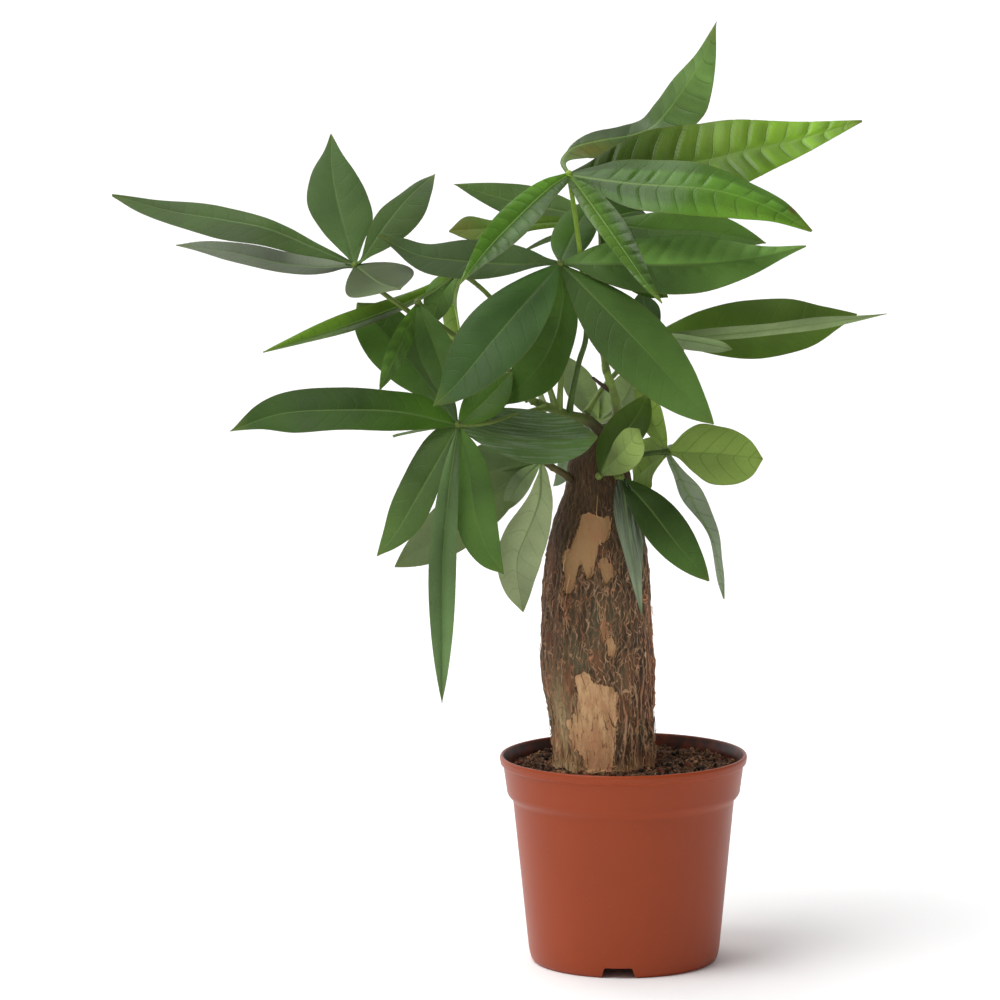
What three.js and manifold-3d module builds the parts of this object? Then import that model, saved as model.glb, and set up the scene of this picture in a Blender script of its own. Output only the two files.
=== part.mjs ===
// Potted money tree: a stout braidless trunk with young shoots and palmate leaves in a nursery pot.
// Millimetres, +Z up, the viewer looks along +Y, and the origin is the middle of the pot's foot.
import * as THREE from "three";
import { mergeVertices } from "three/addons/utils/BufferGeometryUtils.js";
import Module from "manifold-3d";

const wasm = await Module();
wasm.setup();

// Driving dimensions
const potHeight = 101;
const rimRadius = 60;
const footRadius = 44;
const potWall = 1.4;
const potFloor = 6.5;
const soilDepthBelowRim = 6;
const trunkWidth = 54;
const bladeThickness = 0.8;
const stalkRadius = 1.1;
const stalkThickening = 1.3;
const hubRadius = 1.9;
const clearance = 0.35;

// The pot's outline
const lipHeight = 4.5;
const bandHeight = 14.5;
const stepHeight = 3;
const bandTopRadius = rimRadius - 1.8;
const bandFootRadius = rimRadius - 3.7;
const wallTopRadius = rimRadius - 6.4;
const wallFootRadius = footRadius + 2.4;
const footRound = 6;
const footEdge = { out: 1.4, up: 1.6 };
const lipEdge = { under: 0.6, side: 0.4, top: 1, inset: 0.5, inner: 1.6, dip: 0.2 };
const bandFoot = potHeight - lipHeight - bandHeight;
const stepFoot = bandFoot - stepHeight;
const innerRise = 0.6;
const potSides = 44;

// The notches in the pot's foot, its drain holes and the boss under its middle
const notchCount = 3;
const notchTurn = -95;
const notchHeight = 5.2;
const notchTopWidth = 13.4;
const notchFootWidth = 17;
const notchReach = 12;
const drainCount = 6;
const drainRadius = 4;
const drainCircle = 27;
const drainDepth = 6;
const drainSides = 16;
const bossRadius = 6;

// The viewpoint from which places are given as [across, down, back]: the first two in a frame
// of 1000 by 1000, the third in millimetres behind the pot's axis
const view = { distance: 2300, height: 523, side: -58.9, focal: 4820, middle: 500 };
view.pitch = THREE.MathUtils.degToRad(7.375);
view.roll = THREE.MathUtils.degToRad(0.4);

// Colours
const colours = {
  pot: 0xa5533c,
  soil: 0x3a2a22,
  bark: 0x5c4635,
  shoot: 0x71863a,
  leaf: 0x44652f,
  freshLeaf: 0x5c8a2c,
  greyLeaf: 0x4e6a45,
};
const roughnesses = { pot: 0.45, soil: 1, bark: 0.9, shoot: 0.6, leaf: 0.5 };

// The trunk: height, left edge and right edge
const trunkOutline = [
  [80, -33.6, 16.6],
  [93, -34.1, 16.1],
  [107, -34.4, 15.3],
  [125, -36.2, 14.7],
  [138, -38.2, 14.9],
  [152, -39.6, 14.5],
  [172, -38.7, 13.8],
  [191, -37.3, 12.7],
  [206, -35.2, 11.3],
  [219, -31.8, 9],
  [229, -28, 6],
  [237, -26.8, 4],
  [244, -25.4, 1.6],
  [250, -19.5, -0.5],
  [255, -13.5, -2.5],
];
const trunkSides = 36;
const ridgeDepth = 0.7;
const ridgeWaves = [9, 5];
const ridgeDrift = [0.9, 0.7];
const trunkDepth = trunkWidth / 2 - 0.5;

// Shoots that leave the trunk's crown: route, radius where they start and where they end
const shoots = {
  shoot_left: {
    route: [[606, 440, 2], [590, 422, -3], [568, 415, -6], [548, 407, -8], [528, 399, -9]],
    radii: [3.2, 1.8],
  },
  shoot_main: {
    route: [[608, 440, 4], [617, 418, 4], [615, 398, 0], [608, 376, -1], [603, 362, 2]],
    radii: [3.2, 1.5],
  },
};

// Dead twigs that stay on the wood
const trunkTwigs = [
  { route: [[580, 486, -4], [562, 473, -14], [550, 466, -20], [538, 459, -24]], radii: [2.4, 1.2] },
];
const shootTwigs = [
  { route: [[612, 392, 1], [602, 385, -3], [592, 377, -7]], radii: [1.3, 0.7] },
];

// Leaves. A leaflet's rib runs from the hub through the points given and ends at its tip
const leaves = {
  leaf_top: {
    hub: [569, 174, -14],
    stalk: [[580, 253, -26], [586, 337, -12], [579, 362, -9], [571, 400, -7], [569, 416, -6]],
    colour: "freshLeaf",
    leaflets: [
      {
        rib: [
          [562, 161, -6], [572, 148, 4], [600, 140, 14], [630, 135, 24], [652, 127, 27], [668, 110, 27],
          [684, 88, 25], [702, 60, 20], [716, 22, 12],
        ],
        sides: [[1, 1.5], [1, 9], [8.5, 11], [10.5, 13], [10.5, 17], [4.5, 6]], roll: -12,
        fold: -8,
      },
      {
        rib: [
          [610, 170, -12], [660, 166, -9], [708, 160, -6],
          [743, 151, -4], [801, 138, -1], [862, 121, 2],
        ],
        sides: [[5, 3.5], [12, 8], [21, 15], [21, 21], [13.5, 13.5], [6.5, 6.5]], fold: 8,
      },
      {
        rib: [
          [598, 179, -24], [640, 184, -31], [690, 187, -37], [720, 191, -39], [745, 198, -40],
          [775, 210, -40], [812, 231, -38],
        ],
        sides: [[8, 2], [15, 6.5], [19, 13], [18, 14], [12.5, 11.5], [8.5, 5]], fold: -10,
      },
      {
        rib: [
          [589, 201, -34], [608, 228, -48], [627, 255, -59],
          [647, 284, -71], [662, 303, -77],
        ],
        sides: [[1.5, 2.5], [4, 4], [7, 5.5], [8.5, 5.5], [6, 4.5], [3, 2.5]], fold: 20, roll: 12,
      },
      {
        rib: [[549, 188, -24], [520, 215, -44], [491, 245, -58], [458, 286, -70]],
        sides: [[4.5, 2.5], [7, 5], [9.5, 7.5], [12.5, 8.5], [10.5, 6.5], [4, 3]], fold: 20,
        roll: 8,
      },
    ],
  },
  leaf_middle: {
    hub: [560, 263, -34],
    stalk: [[558, 290, -26], [560, 330, -18], [561, 375, -11], [559, 411, -7]],
    colour: "leaf",
    leaflets: [
      {
        rib: [[620, 264, -36], [680, 265, -34], [745, 260, -26], [806, 246, -14]],
        sides: [[6, 2.5], [13, 8], [18.5, 14], [21, 15], [15.5, 9.5], [6, 4]], fold: -8,
      },
      {
        rib: [[600, 303, -46], [641, 345, -56], [682, 390, -60], [714, 424, -58]],
        width: 35, fold: -6,
      },
      { rib: [[525, 303, -50], [490, 344, -62], [455, 386, -68], [433, 406, -68]], width: 34, fold: 6 },
      {
        rib: [[563, 295, -38], [557, 330, -38], [540, 365, -36], [502, 405, -32]],
        sides: [[1.5, 3], [3.5, 6.5], [8, 10], [10.5, 12.5], [13, 13], [7.5, 8.5]], fold: 6,
      },
      {
        rib: [[510, 264, -38], [462, 261, -42], [415, 254, -42], [378, 235, -40]],
        sides: [[1.5, 3], [3, 8], [7.5, 12], [11.5, 11.5], [11, 7.5], [3.5, 5.5]], fold: 12,
      },
      { rib: [[567, 248, -14], [580, 222, 6], [595, 198, 26]], width: 20, fold: 10 },
    ],
  },
  leaf_back_top: {
    hub: [600, 222, 40],
    stalk: [[601, 250, 36], [602, 300, 22], [602, 345, 6], [607, 373, -1]],
    colour: "leaf",
    leaflets: [
      {
        rib: [[566, 212, 42], [520, 203, 44], [454, 184, 46]],
        sides: [[5, 2], [9, 5], [12, 9], [10.5, 11], [7.5, 8], [4, 4]], fold: 8,
      },
      {
        rib: [[560, 222, 32], [505, 227, 24], [449, 231, 20]],
        sides: [[1.5, 1], [3.5, 2], [3, 3.5], [4, 5], [8.5, 4.5], [7, 8]], fold: 8,
      },
      { rib: [[650, 229, 34], [710, 232, 30], [766, 243, 24]], width: 24, fold: 8 },
      { rib: [[630, 262, 30], [650, 286, 26], [668, 297, 24]], width: 22, fold: 8 },
      { rib: [[601, 214, 66], [592, 212, 92], [584, 222, 118]], width: 20, fold: 8 },
      { rib: [[620, 215, 62], [640, 212, 84], [655, 222, 104]], width: 30, fold: 8 },
      { rib: [[575, 233, 18], [550, 240, 12], [524, 251, 6]], width: 8, roll: 60, fold: 30 },
    ],
  },
  leaf_left_high: {
    hub: [355, 265, -20],
    stalk: [[377, 288, -17], [408, 311, -12], [456, 346, -4], [500, 374, -4], [529, 400, -9]],
    colour: "greyLeaf",
    leaflets: [
      {
        rib: [
          [334, 256, -21], [310, 246, -20], [285, 235, -19], [262, 227, -18], [219, 219, -13],
          [170, 211, -7], [112, 195, 0],
        ],
        sides: [[3, 1.5], [6, 2.5], [10, 5], [12, 6.5], [9, 7], [5.5, 3.5]], fold: 8,
      },
      {
        rib: [[320, 267, -27], [280, 263, -31], [235, 253, -34], [176, 245, -34]],
        sides: [[1, 1.5], [3, 4], [5.5, 6], [6, 7.5], [5, 5.5], [2, 3.5]], roll: 0, fold: 8,
      },
      {
        rib: [[352, 257, -19], [344, 227, -17], [337, 199, -13], [332, 169, -8], [331, 134, -2]],
        sides: [[2, 3.5], [5.5, 7.5], [11, 14.5], [14.5, 14.5], [10.5, 10.5], [3.5, 4.5]], fold: 6,
      },
      {
        rib: [
          [363, 258, -22], [376, 239, -26], [392, 217, -26],
          [413, 193, -25], [435, 174, -22],
        ],
        sides: [[1, 1.5], [3, 3], [5.5, 8], [7, 12.5], [4.5, 12.5], [3, 7]], fold: 6,
      },
      { rib: [[380, 283, -44], [400, 289, -68]], width: 33, fold: 6 },
    ],
  },
  leaf_left_mid: {
    hub: [460, 272, -2],
    stalk: [[475, 283, 0], [490, 297, 2], [525, 345, 4], [548, 385, 0], [556, 410, -7]],
    colour: "freshLeaf",
    leaflets: [
      { rib: [[420, 296, 1], [370, 317, -1], [310, 337, -1], [263, 352, 0]], width: 12, fold: 25 },
      { rib: [[455, 300, 8], [460, 335, 12], [468, 385, 12]], width: 14, roll: 50, fold: 50 },
      { rib: [[443, 290, -1], [431, 325, -2]], width: 15, fold: 12 },
      { rib: [[452, 264, 18], [440, 258, 44]], width: 18, fold: 8 },
      { rib: [[474, 264, 22], [492, 262, 52]], width: 22, fold: 8 },
    ],
  },
  leaf_left_inner: {
    hub: [418, 302, -24],
    stalk: [[432, 318, -22], [456, 336, -20], [500, 362, -20], [534, 402, -10]],
    colour: "leaf",
    leaflets: [
      { rib: [[405, 335, -30], [393, 362, -34], [379, 391, -34]], width: 11, fold: 15 },
      { rib: [[428, 330, -34], [441, 365, -44], [450, 404, -54]], width: 17, fold: 8 },
    ],
  },
  leaf_low: {
    hub: [458, 425, -44],
    stalk: [[484, 424, -38], [510, 417, -28], [545, 408, -10]],
    colour: "leaf",
    leaflets: [
      {
        rib: [[400, 412, -48], [340, 410, -48], [280, 414, -44], [230, 431, -38]],
        sides: [[3.5, 6], [7.5, 11], [11.5, 11], [12, 13], [12, 12], [5, 8]], fold: 6,
      },
      {
        rib: [[439, 459, -52], [416, 499, -56], [396, 533, -58], [377, 556, -58]],
        sides: [[1, 7], [2.5, 10], [5, 11.5], [8.5, 11], [9, 9], [5, 5]], fold: 6,
      },
      {
        rib: [[450, 480, -60], [443, 560, -66], [442, 640, -66], [442, 703, -62]],
        width: 15, fold: 30,
      },
      {
        rib: [[468, 470, -52], [475, 515, -60], [488, 552, -62], [504, 574, -62]],
        sides: [[3, 1.5], [6.5, 3.5], [9.5, 6.5], [10.5, 8.5], [9, 9.5], [6, 6.5]], fold: 6,
      },
      {
        rib: [[500, 435, -40], [550, 440, -34], [598, 437, -26]],
        sides: [[4.5, 3], [10.5, 5.5], [17.5, 9], [20, 13], [18.5, 12], [13, 7.5]], fold: -6,
      },
      { rib: [[482, 404, -38], [512, 372, -32]], width: 20, fold: 8 },
      {
        rib: [[438, 398, -22], [403, 354, -2], [357, 303, 12]],
        sides: [[1, 2], [2.5, 4.5], [5.5, 8], [13, 12.5], [15, 14.5], [11, 12]], fold: 6,
      },
      { rib: [[430, 428, -28], [393, 436, -16]], width: 9, roll: 50, fold: 8 },
    ],
  },
  leaf_back_left: {
    hub: [512, 335, 46],
    stalk: [[524, 358, 32], [538, 388, 12], [544, 406, -7]],
    colour: "leaf",
    leaflets: [
      { rib: [[494, 336, 74], [478, 345, 100]], width: 22, fold: 8 },
      { rib: [[508, 320, 80], [508, 312, 118]], width: 26, fold: 8 },
      { rib: [[530, 322, 78], [546, 318, 110]], width: 24, fold: 8 },
      { rib: [[524, 348, 76], [534, 372, 102]], width: 24, fold: 8 },
    ],
  },
  leaf_trunk_left: {
    hub: [541, 462, -27],
    stalk: [],
    colour: "greyLeaf",
    leaflets: [
      {
        rib: [
          [540, 497, -34], [534, 517, -38], [525, 538, -41],
          [518, 556, -43], [517, 572, -44], [523, 612, -44],
        ],
        sides: [[3, 1], [4.5, 3.5], [7.5, 7], [11, 10.5], [11, 9.5], [6, 6.5]], fold: 6,
      },
      { rib: [[526, 476, -30], [514, 493, -30], [505, 511, -28]], width: 11, fold: 6 },
      { rib: [[500, 490, -24], [438, 537, -20], [395, 567, -16]], width: 30, fold: 6 },
      { rib: [[520, 457, -16], [497, 453, -4], [475, 448, 8]], width: 26, fold: 6 },
    ],
  },
  leaf_right_high: {
    hub: [652, 337, 6],
    stalk: [[636, 352, 8], [616, 373, 10], [603, 388, 6], [586, 414, -2]],
    colour: "leaf",
    leaflets: [
      {
        rib: [[700, 333, 18], [760, 330, 28], [815, 324, 36], [857, 314, 44]],
        sides: [[4, 4.5], [8, 9.5], [13.5, 14.5], [18, 17.5], [17, 14.5], [8.5, 6]], fold: 6,
      },
      {
        rib: [[700, 336, 2], [760, 331, -2], [830, 322, -2], [887, 314, 0]],
        sides: [[2, 1.5], [3, 2], [4, 2.5], [4, 3], [3.5, 3], [1.5, 1.5]], roll: 62, fold: 10,
      },
      {
        rib: [[690, 341, -4], [732, 349, -12]],
        sides: [[1.5, 1.5], [2.5, 2.5], [3.5, 4.5], [3.5, 6], [3.5, 5.5], [3, 4]], fold: 8,
      },
      { rib: [[646, 312, 46], [642, 292, 80]], width: 14, fold: 8 },
      { rib: [[662, 345, 50], [670, 360, 84]], width: 22, fold: 8 },
    ],
  },
  leaf_right_low: {
    hub: [667, 452, -8],
    stalk: [[652, 453, -8], [636, 456, -8], [614, 460, -6]],
    colour: "freshLeaf",
    leaflets: [
      {
        rib: [[700, 453, -12], [730, 455, -14], [763, 459, -12]],
        sides: [[5, 1.5], [11.5, 4], [16.5, 11], [16, 18], [14.5, 17.5], [10, 11.5]], fold: 6,
      },
      {
        rib: [
          [684, 485, -14], [700, 515, -15], [713, 540, -16],
          [719, 566, -14], [724, 599, -10],
        ],
        sides: [[1.5, 2], [3, 2.5], [6.5, 4.5], [5.5, 1.5], [2.5, 2], [1.5, 2]], fold: 12,
      },
      {
        rib: [[652, 463, 2], [633, 480, 10]],
        sides: [[2, 3], [5, 6], [9, 11], [12, 15], [12, 15], [8, 12]], fold: 6,
      },
      { rib: [[654, 425, 2], [646, 400, 6], [634, 376, 8]], width: 12, fold: 8 },
      { rib: [[688, 455, 18], [716, 456, 50]], width: 22, blunt: 1, fold: 6 },
    ],
  },
  leaf_front_low: {
    hub: [621, 477, -22],
    stalk: [[614, 476, -8]],
    colour: "leaf",
    leaflets: [
      {
        rib: [[625, 505, -30], [629, 535, -35], [635, 570, -36], [642, 616, -34]],
        sides: [[3, 3], [5.5, 5], [7, 6], [6, 4.5], [3, 3], [1.5, 1.5]], fold: 15,
      },
      { rib: [[649, 508, -32], [681, 549, -38], [709, 581, -38]], width: 22, fold: 8 },
    ],
  },
  leaf_front_small: {
    hub: [599, 476, -21],
    stalk: [[599, 478, -8]],
    colour: "freshLeaf",
    leaflets: [
      {
        rib: [[618, 457, -28], [639, 429, -34]],
        sides: [[1.5, 1.5], [2.5, 3.5], [5.5, 7], [7, 10.5], [7, 11], [5.5, 8.5]], fold: 6,
      },
      { rib: [[613, 447, -20], [635, 419, -18], [649, 394, -16]], width: 20, fold: 8 },
    ],
  },
  leaf_back_low: {
    hub: [598, 422, 22],
    stalk: [[608, 420, 13], [617, 415, 4]],
    colour: "greyLeaf",
    leaflets: [
      { rib: [[584, 395, 28], [568, 357, 42]], width: 16, fold: 6 },
      { rib: [[606, 402, 32], [616, 380, 46]], width: 12, fold: 6 },
      { rib: [[622, 402, 32], [640, 365, 50]], width: 20, fold: 6 },
      { rib: [[622, 436, 46], [640, 468, 76]], width: 22, fold: 6 },
      { rib: [[580, 440, 44], [553, 486, 72]], width: 22, fold: 6 },
      { rib: [[600, 428, 60], [604, 452, 106]], width: 26, fold: 6 },
    ],
  },
};

// A place seen at [across, down] and lying back behind the pot's axis, in millimetres
function place([across, down, back]) {
  const ahead = new THREE.Vector3(0, Math.cos(view.pitch), -Math.sin(view.pitch));
  const level = new THREE.Vector3(1, 0, 0);
  const upright = new THREE.Vector3(0, Math.sin(view.pitch), Math.cos(view.pitch));
  const right = level.clone().multiplyScalar(Math.cos(view.roll));
  right.addScaledVector(upright, -Math.sin(view.roll));
  const up = upright.clone().multiplyScalar(Math.cos(view.roll));
  up.addScaledVector(level, Math.sin(view.roll));
  const sight = ahead.multiplyScalar(view.focal);
  sight.addScaledVector(right, across - view.middle);
  sight.addScaledVector(up, view.middle - down);
  const eye = new THREE.Vector3(view.side, -view.distance, view.height);
  return eye.addScaledVector(sight, (back + view.distance) / sight.y);
}

// A closed solid from corner points and triangles
function solidOf(points, triangles) {
  const mesh = new wasm.Mesh({
    numProp: 3,
    vertProperties: new Float32Array(points.flatMap((p) => [p.x, p.y, p.z])),
    triVerts: new Uint32Array(triangles.flat()),
  });
  return new wasm.Manifold(mesh);
}

// A closed solid from a three.js geometry
function solidFrom(geometry) {
  const bare = geometry.clone();
  bare.deleteAttribute("normal");
  bare.deleteAttribute("uv");
  const merged = mergeVertices(bare, 1e-3);
  const mesh = new wasm.Mesh({
    numProp: 3,
    vertProperties: merged.attributes.position.array,
    triVerts: new Uint32Array(merged.index.array),
  });
  return new wasm.Manifold(mesh);
}

// A skin over rings of points, closed at both ends. A quad from the blade's lower face is
// split the other way round, so that both faces of a blade fold along the same lines
function loft(rings, lowerFrom = Infinity) {
  const count = rings[0].length;
  const points = rings.flat();
  const triangles = [];
  for (let i = 0; i + 1 < rings.length; i += 1) {
    for (let j = 0; j < count; j += 1) {
      const next = (j + 1) % count;
      const a = i * count + j;
      const b = i * count + next;
      const c = b + count;
      const d = a + count;
      if (j >= lowerFrom) triangles.push([a, b, d], [b, c, d]);
      else triangles.push([a, b, c], [a, c, d]);
    }
  }
  const ends = [rings[0], rings[rings.length - 1]];
  ends.forEach((ring, end) => {
    const middle = ring.reduce((sum, p) => sum.add(p), new THREE.Vector3()).divideScalar(count);
    const centre = points.push(middle) - 1;
    const start = end === 0 ? 0 : (rings.length - 1) * count;
    for (let j = 0; j < count; j += 1) {
      const here = start + j;
      const there = start + ((j + 1) % count);
      triangles.push(end === 0 ? [centre, there, here] : [centre, here, there]);
    }
  });
  return solidOf(points, triangles);
}

// A round stem along a route, from the first radius to the second
function stem(route, [startRadius, endRadius], steps = 3, sides = 8) {
  const curve = new THREE.CatmullRomCurve3(route);
  const count = steps * (route.length - 1);
  const rings = [];
  let side = new THREE.Vector3(1, 0.3, 0);
  for (let i = 0; i <= count; i += 1) {
    const centre = curve.getPointAt(i / count);
    const along = curve.getTangentAt(i / count);
    side = side.clone().addScaledVector(along, -side.dot(along)).normalize();
    const across = new THREE.Vector3().crossVectors(along, side);
    const radius = THREE.MathUtils.lerp(startRadius, endRadius, i / count);
    const ring = [];
    for (let j = 0; j < sides; j += 1) {
      const turn = (2 * Math.PI * j) / sides;
      const point = centre.clone().addScaledVector(side, radius * Math.cos(turn));
      ring.push(point.addScaledVector(across, radius * Math.sin(turn)));
    }
    rings.push(ring);
  }
  return loft(rings);
}

// One leaflet: a thin blade folded along its rib, widest past the middle, with a point at its end.
// An uneven one has its two half widths at each inner station instead of a full width
const bladeStations = [0, 0.06, 0.15, 0.3, 0.5, 0.7, 0.87, 1];
const bladeStalkWidth = 2;
const bladeTipWidth = 0.8;
const bladeBroadest = 0.52;
const bluntBroadest = 0.62;
const bladeSharpness = 2;
const bluntSharpness = 1.5;
function bladeWidth(t, sharpness, widest) {
  const base = sharpness * widest;
  const end = sharpness - base;
  return (t / widest) ** base * ((1 - t) / (1 - widest)) ** end;
}
function leaflet(hub, { rib, sides = [], width, roll = 0, fold, blunt = 0, widest, sharp }, facing) {
  const broadest = widest ?? (blunt ? bluntBroadest : bladeBroadest);
  const sharpness = sharp ?? (blunt ? bluntSharpness : bladeSharpness);
  const curve = new THREE.CatmullRomCurve3([hub, ...rib.map(place)]);
  const bend = THREE.MathUtils.degToRad(fold);
  const rings = bladeStations.map((t, station) => {
    const centre = curve.getPointAt(t);
    const along = curve.getTangentAt(t);
    const up = facing.clone().addScaledVector(along, -facing.dot(along)).normalize();
    up.applyAxisAngle(along, THREE.MathUtils.degToRad(roll));
    const right = new THREE.Vector3().crossVectors(along, up);
    const least = t < 0.5 ? bladeStalkWidth : bladeTipWidth;
    const even = width ? Math.max(width * bladeWidth(t, sharpness, broadest), least) / 2 : least / 2;
    const [leftHalf, rightHalf] = sides[station - 1] ?? [even, even];
    const top = [-leftHalf, 0, rightHalf].map((reach) => {
      const point = centre.clone().addScaledVector(right, reach * Math.cos(bend));
      return point.addScaledVector(up, Math.abs(reach) * Math.sin(bend));
    });
    const under = top.map((p) => p.clone().addScaledVector(up, -bladeThickness / Math.cos(bend)));
    return [...top, ...under.reverse()];
  });
  return loft(rings, 3);
}

// One compound leaf: leaflets, the hub that they spread from and the stalk that carries it
const leafFacing = new THREE.Vector3(0, -0.75, 0.65);
function leafSolid({ hub, stalk, leaflets }) {
  const centre = place(hub);
  let solid = solidFrom(new THREE.IcosahedronGeometry(hubRadius, 0).translate(...centre));
  for (const blade of leaflets) solid = solid.add(leaflet(centre, blade, leafFacing));
  const route = [centre, ...stalk.map(place)];
  if (stalk.length) solid = solid.add(stem(route, [stalkRadius, stalkThickening * stalkRadius], 2, 6));
  return solid;
}

// The trunk, or the same shape grown by a little all round
function trunkSolid(grow) {
  const rings = trunkOutline.map(([height, left, right], level) => {
    const middle = (left + right) / 2;
    const half = (right - left) / 2 + grow;
    const depth = Math.min(half, trunkDepth + grow);
    const ring = [];
    for (let i = 0; i < trunkSides; i += 1) {
      const turn = (2 * Math.PI * i) / trunkSides;
      const ridge =
        Math.sin(ridgeWaves[0] * turn + ridgeDrift[0] * level) *
        Math.sin(ridgeWaves[1] * turn - ridgeDrift[1] * level);
      const swell = 1 + (ridgeDepth * ridge) / half;
      const z = height + (level === 0 ? -grow : 0) + (level === trunkOutline.length - 1 ? grow : 0);
      ring.push(
        new THREE.Vector3(
          middle + half * swell * Math.cos(turn),
          depth * swell * Math.sin(turn),
          z,
        ),
      );
    }
    return ring;
  });
  return loft(rings);
}

// A shoot or the wood's dead twigs, grown by a little all round where they cut their neighbours
function twigSolid({ route, radii }, grow) {
  return stem(route.map(place), radii.map((radius) => radius + grow));
}

// The pot: one thin moulding with a lip, a stepped band, a tapered wall and a raised floor
function potSolid() {
  const outline = [
    [0, 0],
    [bossRadius, 0],
    [bossRadius, potFloor - potWall],
    [footRadius - potWall, potFloor - potWall],
    [footRadius - potWall, 0],
    [footRadius, 0],
    [footRadius + footEdge.out, footEdge.up],
    [wallFootRadius, footRound],
    [wallTopRadius, stepFoot],
    [bandFootRadius, bandFoot],
    [bandTopRadius, potHeight - lipHeight],
    [rimRadius - lipEdge.side, potHeight - lipHeight + lipEdge.under],
    [rimRadius, potHeight - lipEdge.top],
    [rimRadius - lipEdge.inset, potHeight],
    [rimRadius - lipEdge.inner, potHeight - lipEdge.dip],
    [bandTopRadius - potWall, potHeight - lipHeight],
    [bandFootRadius - potWall, bandFoot + innerRise],
    [wallTopRadius - potWall, stepFoot + innerRise],
    [wallFootRadius - potWall, potFloor],
    [0, potFloor],
  ];
  const profile = outline.map(([radius, height]) => new THREE.Vector2(radius, height));
  let pot = solidFrom(new THREE.LatheGeometry(profile, potSides).rotateX(Math.PI / 2));
  for (let i = 0; i < notchCount; i += 1) {
    const notch = new THREE.Shape();
    notch.moveTo(-notchFootWidth / 2, -footEdge.up);
    notch.lineTo(notchFootWidth / 2, -footEdge.up);
    notch.lineTo(notchTopWidth / 2, notchHeight);
    notch.lineTo(-notchTopWidth / 2, notchHeight);
    const cutter = new THREE.ExtrudeGeometry(notch, { depth: notchReach, bevelEnabled: false });
    cutter.rotateX(Math.PI / 2).rotateZ(Math.PI / 2).translate(footRadius - notchReach / 2, 0, 0);
    const turn = notchTurn + (360 / notchCount) * i;
    cutter.rotateZ(THREE.MathUtils.degToRad(turn));
    pot = pot.subtract(solidFrom(cutter));
  }
  for (let i = 0; i < drainCount; i += 1) {
    const drain = new THREE.CylinderGeometry(drainRadius, drainRadius, drainDepth, drainSides);
    drain.rotateX(Math.PI / 2).translate(drainCircle, 0, potFloor);
    drain.rotateZ((2 * Math.PI * i) / drainCount);
    pot = pot.subtract(solidFrom(drain));
  }
  return pot;
}

// The peat: fills the pot to below its rim, lumpy, and heaped a little towards the trunk
const soilSides = 36;
const soilHeap = 1.6;
const soilLumps = 0.8;
const soilCrumbs = 0.5;
const soilEdgeDrop = 1.5;
const soilNeck = 6;
const soilRings = [49, 41, 33, 20];
function soilHeight(radius, turn) {
  const top = potHeight - soilDepthBelowRim;
  const heap = soilHeap * (1 - radius / rimRadius);
  const lumps = Math.sin(7 * turn + 0.21 * radius) * Math.sin(0.31 * radius + 2 * turn);
  const crumbs = Math.sin(17 * turn - 0.5 * radius) * Math.cos(0.8 * radius + 5 * turn);
  return top + heap + soilLumps * lumps + soilCrumbs * crumbs;
}
function soilSolid(trunk) {
  const floor = potFloor + clearance;
  const edge = potHeight - soilDepthBelowRim - soilEdgeDrop;
  const ringAt = (radius, height) =>
    Array.from({ length: soilSides }, (_, i) => {
      const turn = (2 * Math.PI * i) / soilSides;
      const z = typeof height === "function" ? height(radius, turn) : height;
      return new THREE.Vector3(radius * Math.cos(turn), radius * Math.sin(turn), z);
    });
  const rings = [
    ringAt(wallFootRadius - potWall - 2 * clearance, floor),
    ringAt(wallTopRadius - potWall - 2 * clearance, stepFoot),
    ringAt(bandFootRadius - potWall - 2 * clearance, edge - soilNeck),
    ringAt(bandFootRadius - potWall - clearance, edge),
  ];
  for (const radius of soilRings) rings.push(ringAt(radius, soilHeight));
  return loft(rings).subtract(trunk);
}

// The pieces. A cut at a joint can leave a crumb, so each keeps its largest body
const tree = new THREE.Group();
function addPiece(name, solid, colour, roughness) {
  const bodies = solid.decompose().sort((a, b) => b.volume() - a.volume());
  const { vertProperties, triVerts } = bodies[0].getMesh();
  const geometry = new THREE.BufferGeometry();
  geometry.setAttribute("position", new THREE.BufferAttribute(vertProperties, 3));
  geometry.setIndex(new THREE.BufferAttribute(triVerts, 1));
  geometry.computeVertexNormals();
  const material = new THREE.MeshStandardMaterial({ color: colour, roughness, metalness: 0 });
  const mesh = new THREE.Mesh(geometry, material);
  mesh.name = name;
  tree.add(mesh);
}

const trunkKeepOut = trunkSolid(clearance);
let stemsKeepOut = trunkKeepOut;
for (const twig of trunkTwigs) stemsKeepOut = stemsKeepOut.add(twigSolid(twig, clearance));
addPiece("pot", potSolid(), colours.pot, roughnesses.pot);
addPiece("soil", soilSolid(trunkKeepOut), colours.soil, roughnesses.soil);

let trunk = trunkSolid(0);
for (const twig of trunkTwigs) trunk = trunk.add(twigSolid(twig, 0));
addPiece("trunk", trunk, colours.bark, roughnesses.bark);

for (const [name, shoot] of Object.entries(shoots)) {
  let solid = twigSolid(shoot, 0);
  if (name === "shoot_main") for (const twig of shootTwigs) solid = solid.add(twigSolid(twig, 0));
  addPiece(name, solid.subtract(stemsKeepOut), colours.shoot, roughnesses.shoot);
  stemsKeepOut = stemsKeepOut.add(twigSolid(shoot, clearance));
  if (name === "shoot_main") {
    for (const twig of shootTwigs) stemsKeepOut = stemsKeepOut.add(twigSolid(twig, clearance));
  }
}

for (const [name, leaf] of Object.entries(leaves)) {
  addPiece(name, leafSolid(leaf).subtract(stemsKeepOut), colours[leaf.colour], roughnesses.leaf);
}

export default tree;
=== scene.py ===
# Potted money tree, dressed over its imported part: metres, +Z up, the photograph looks along +Y
import math
import random

import bmesh
import bpy
import numpy as np
from mathutils import Matrix, Vector, noise


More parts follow.
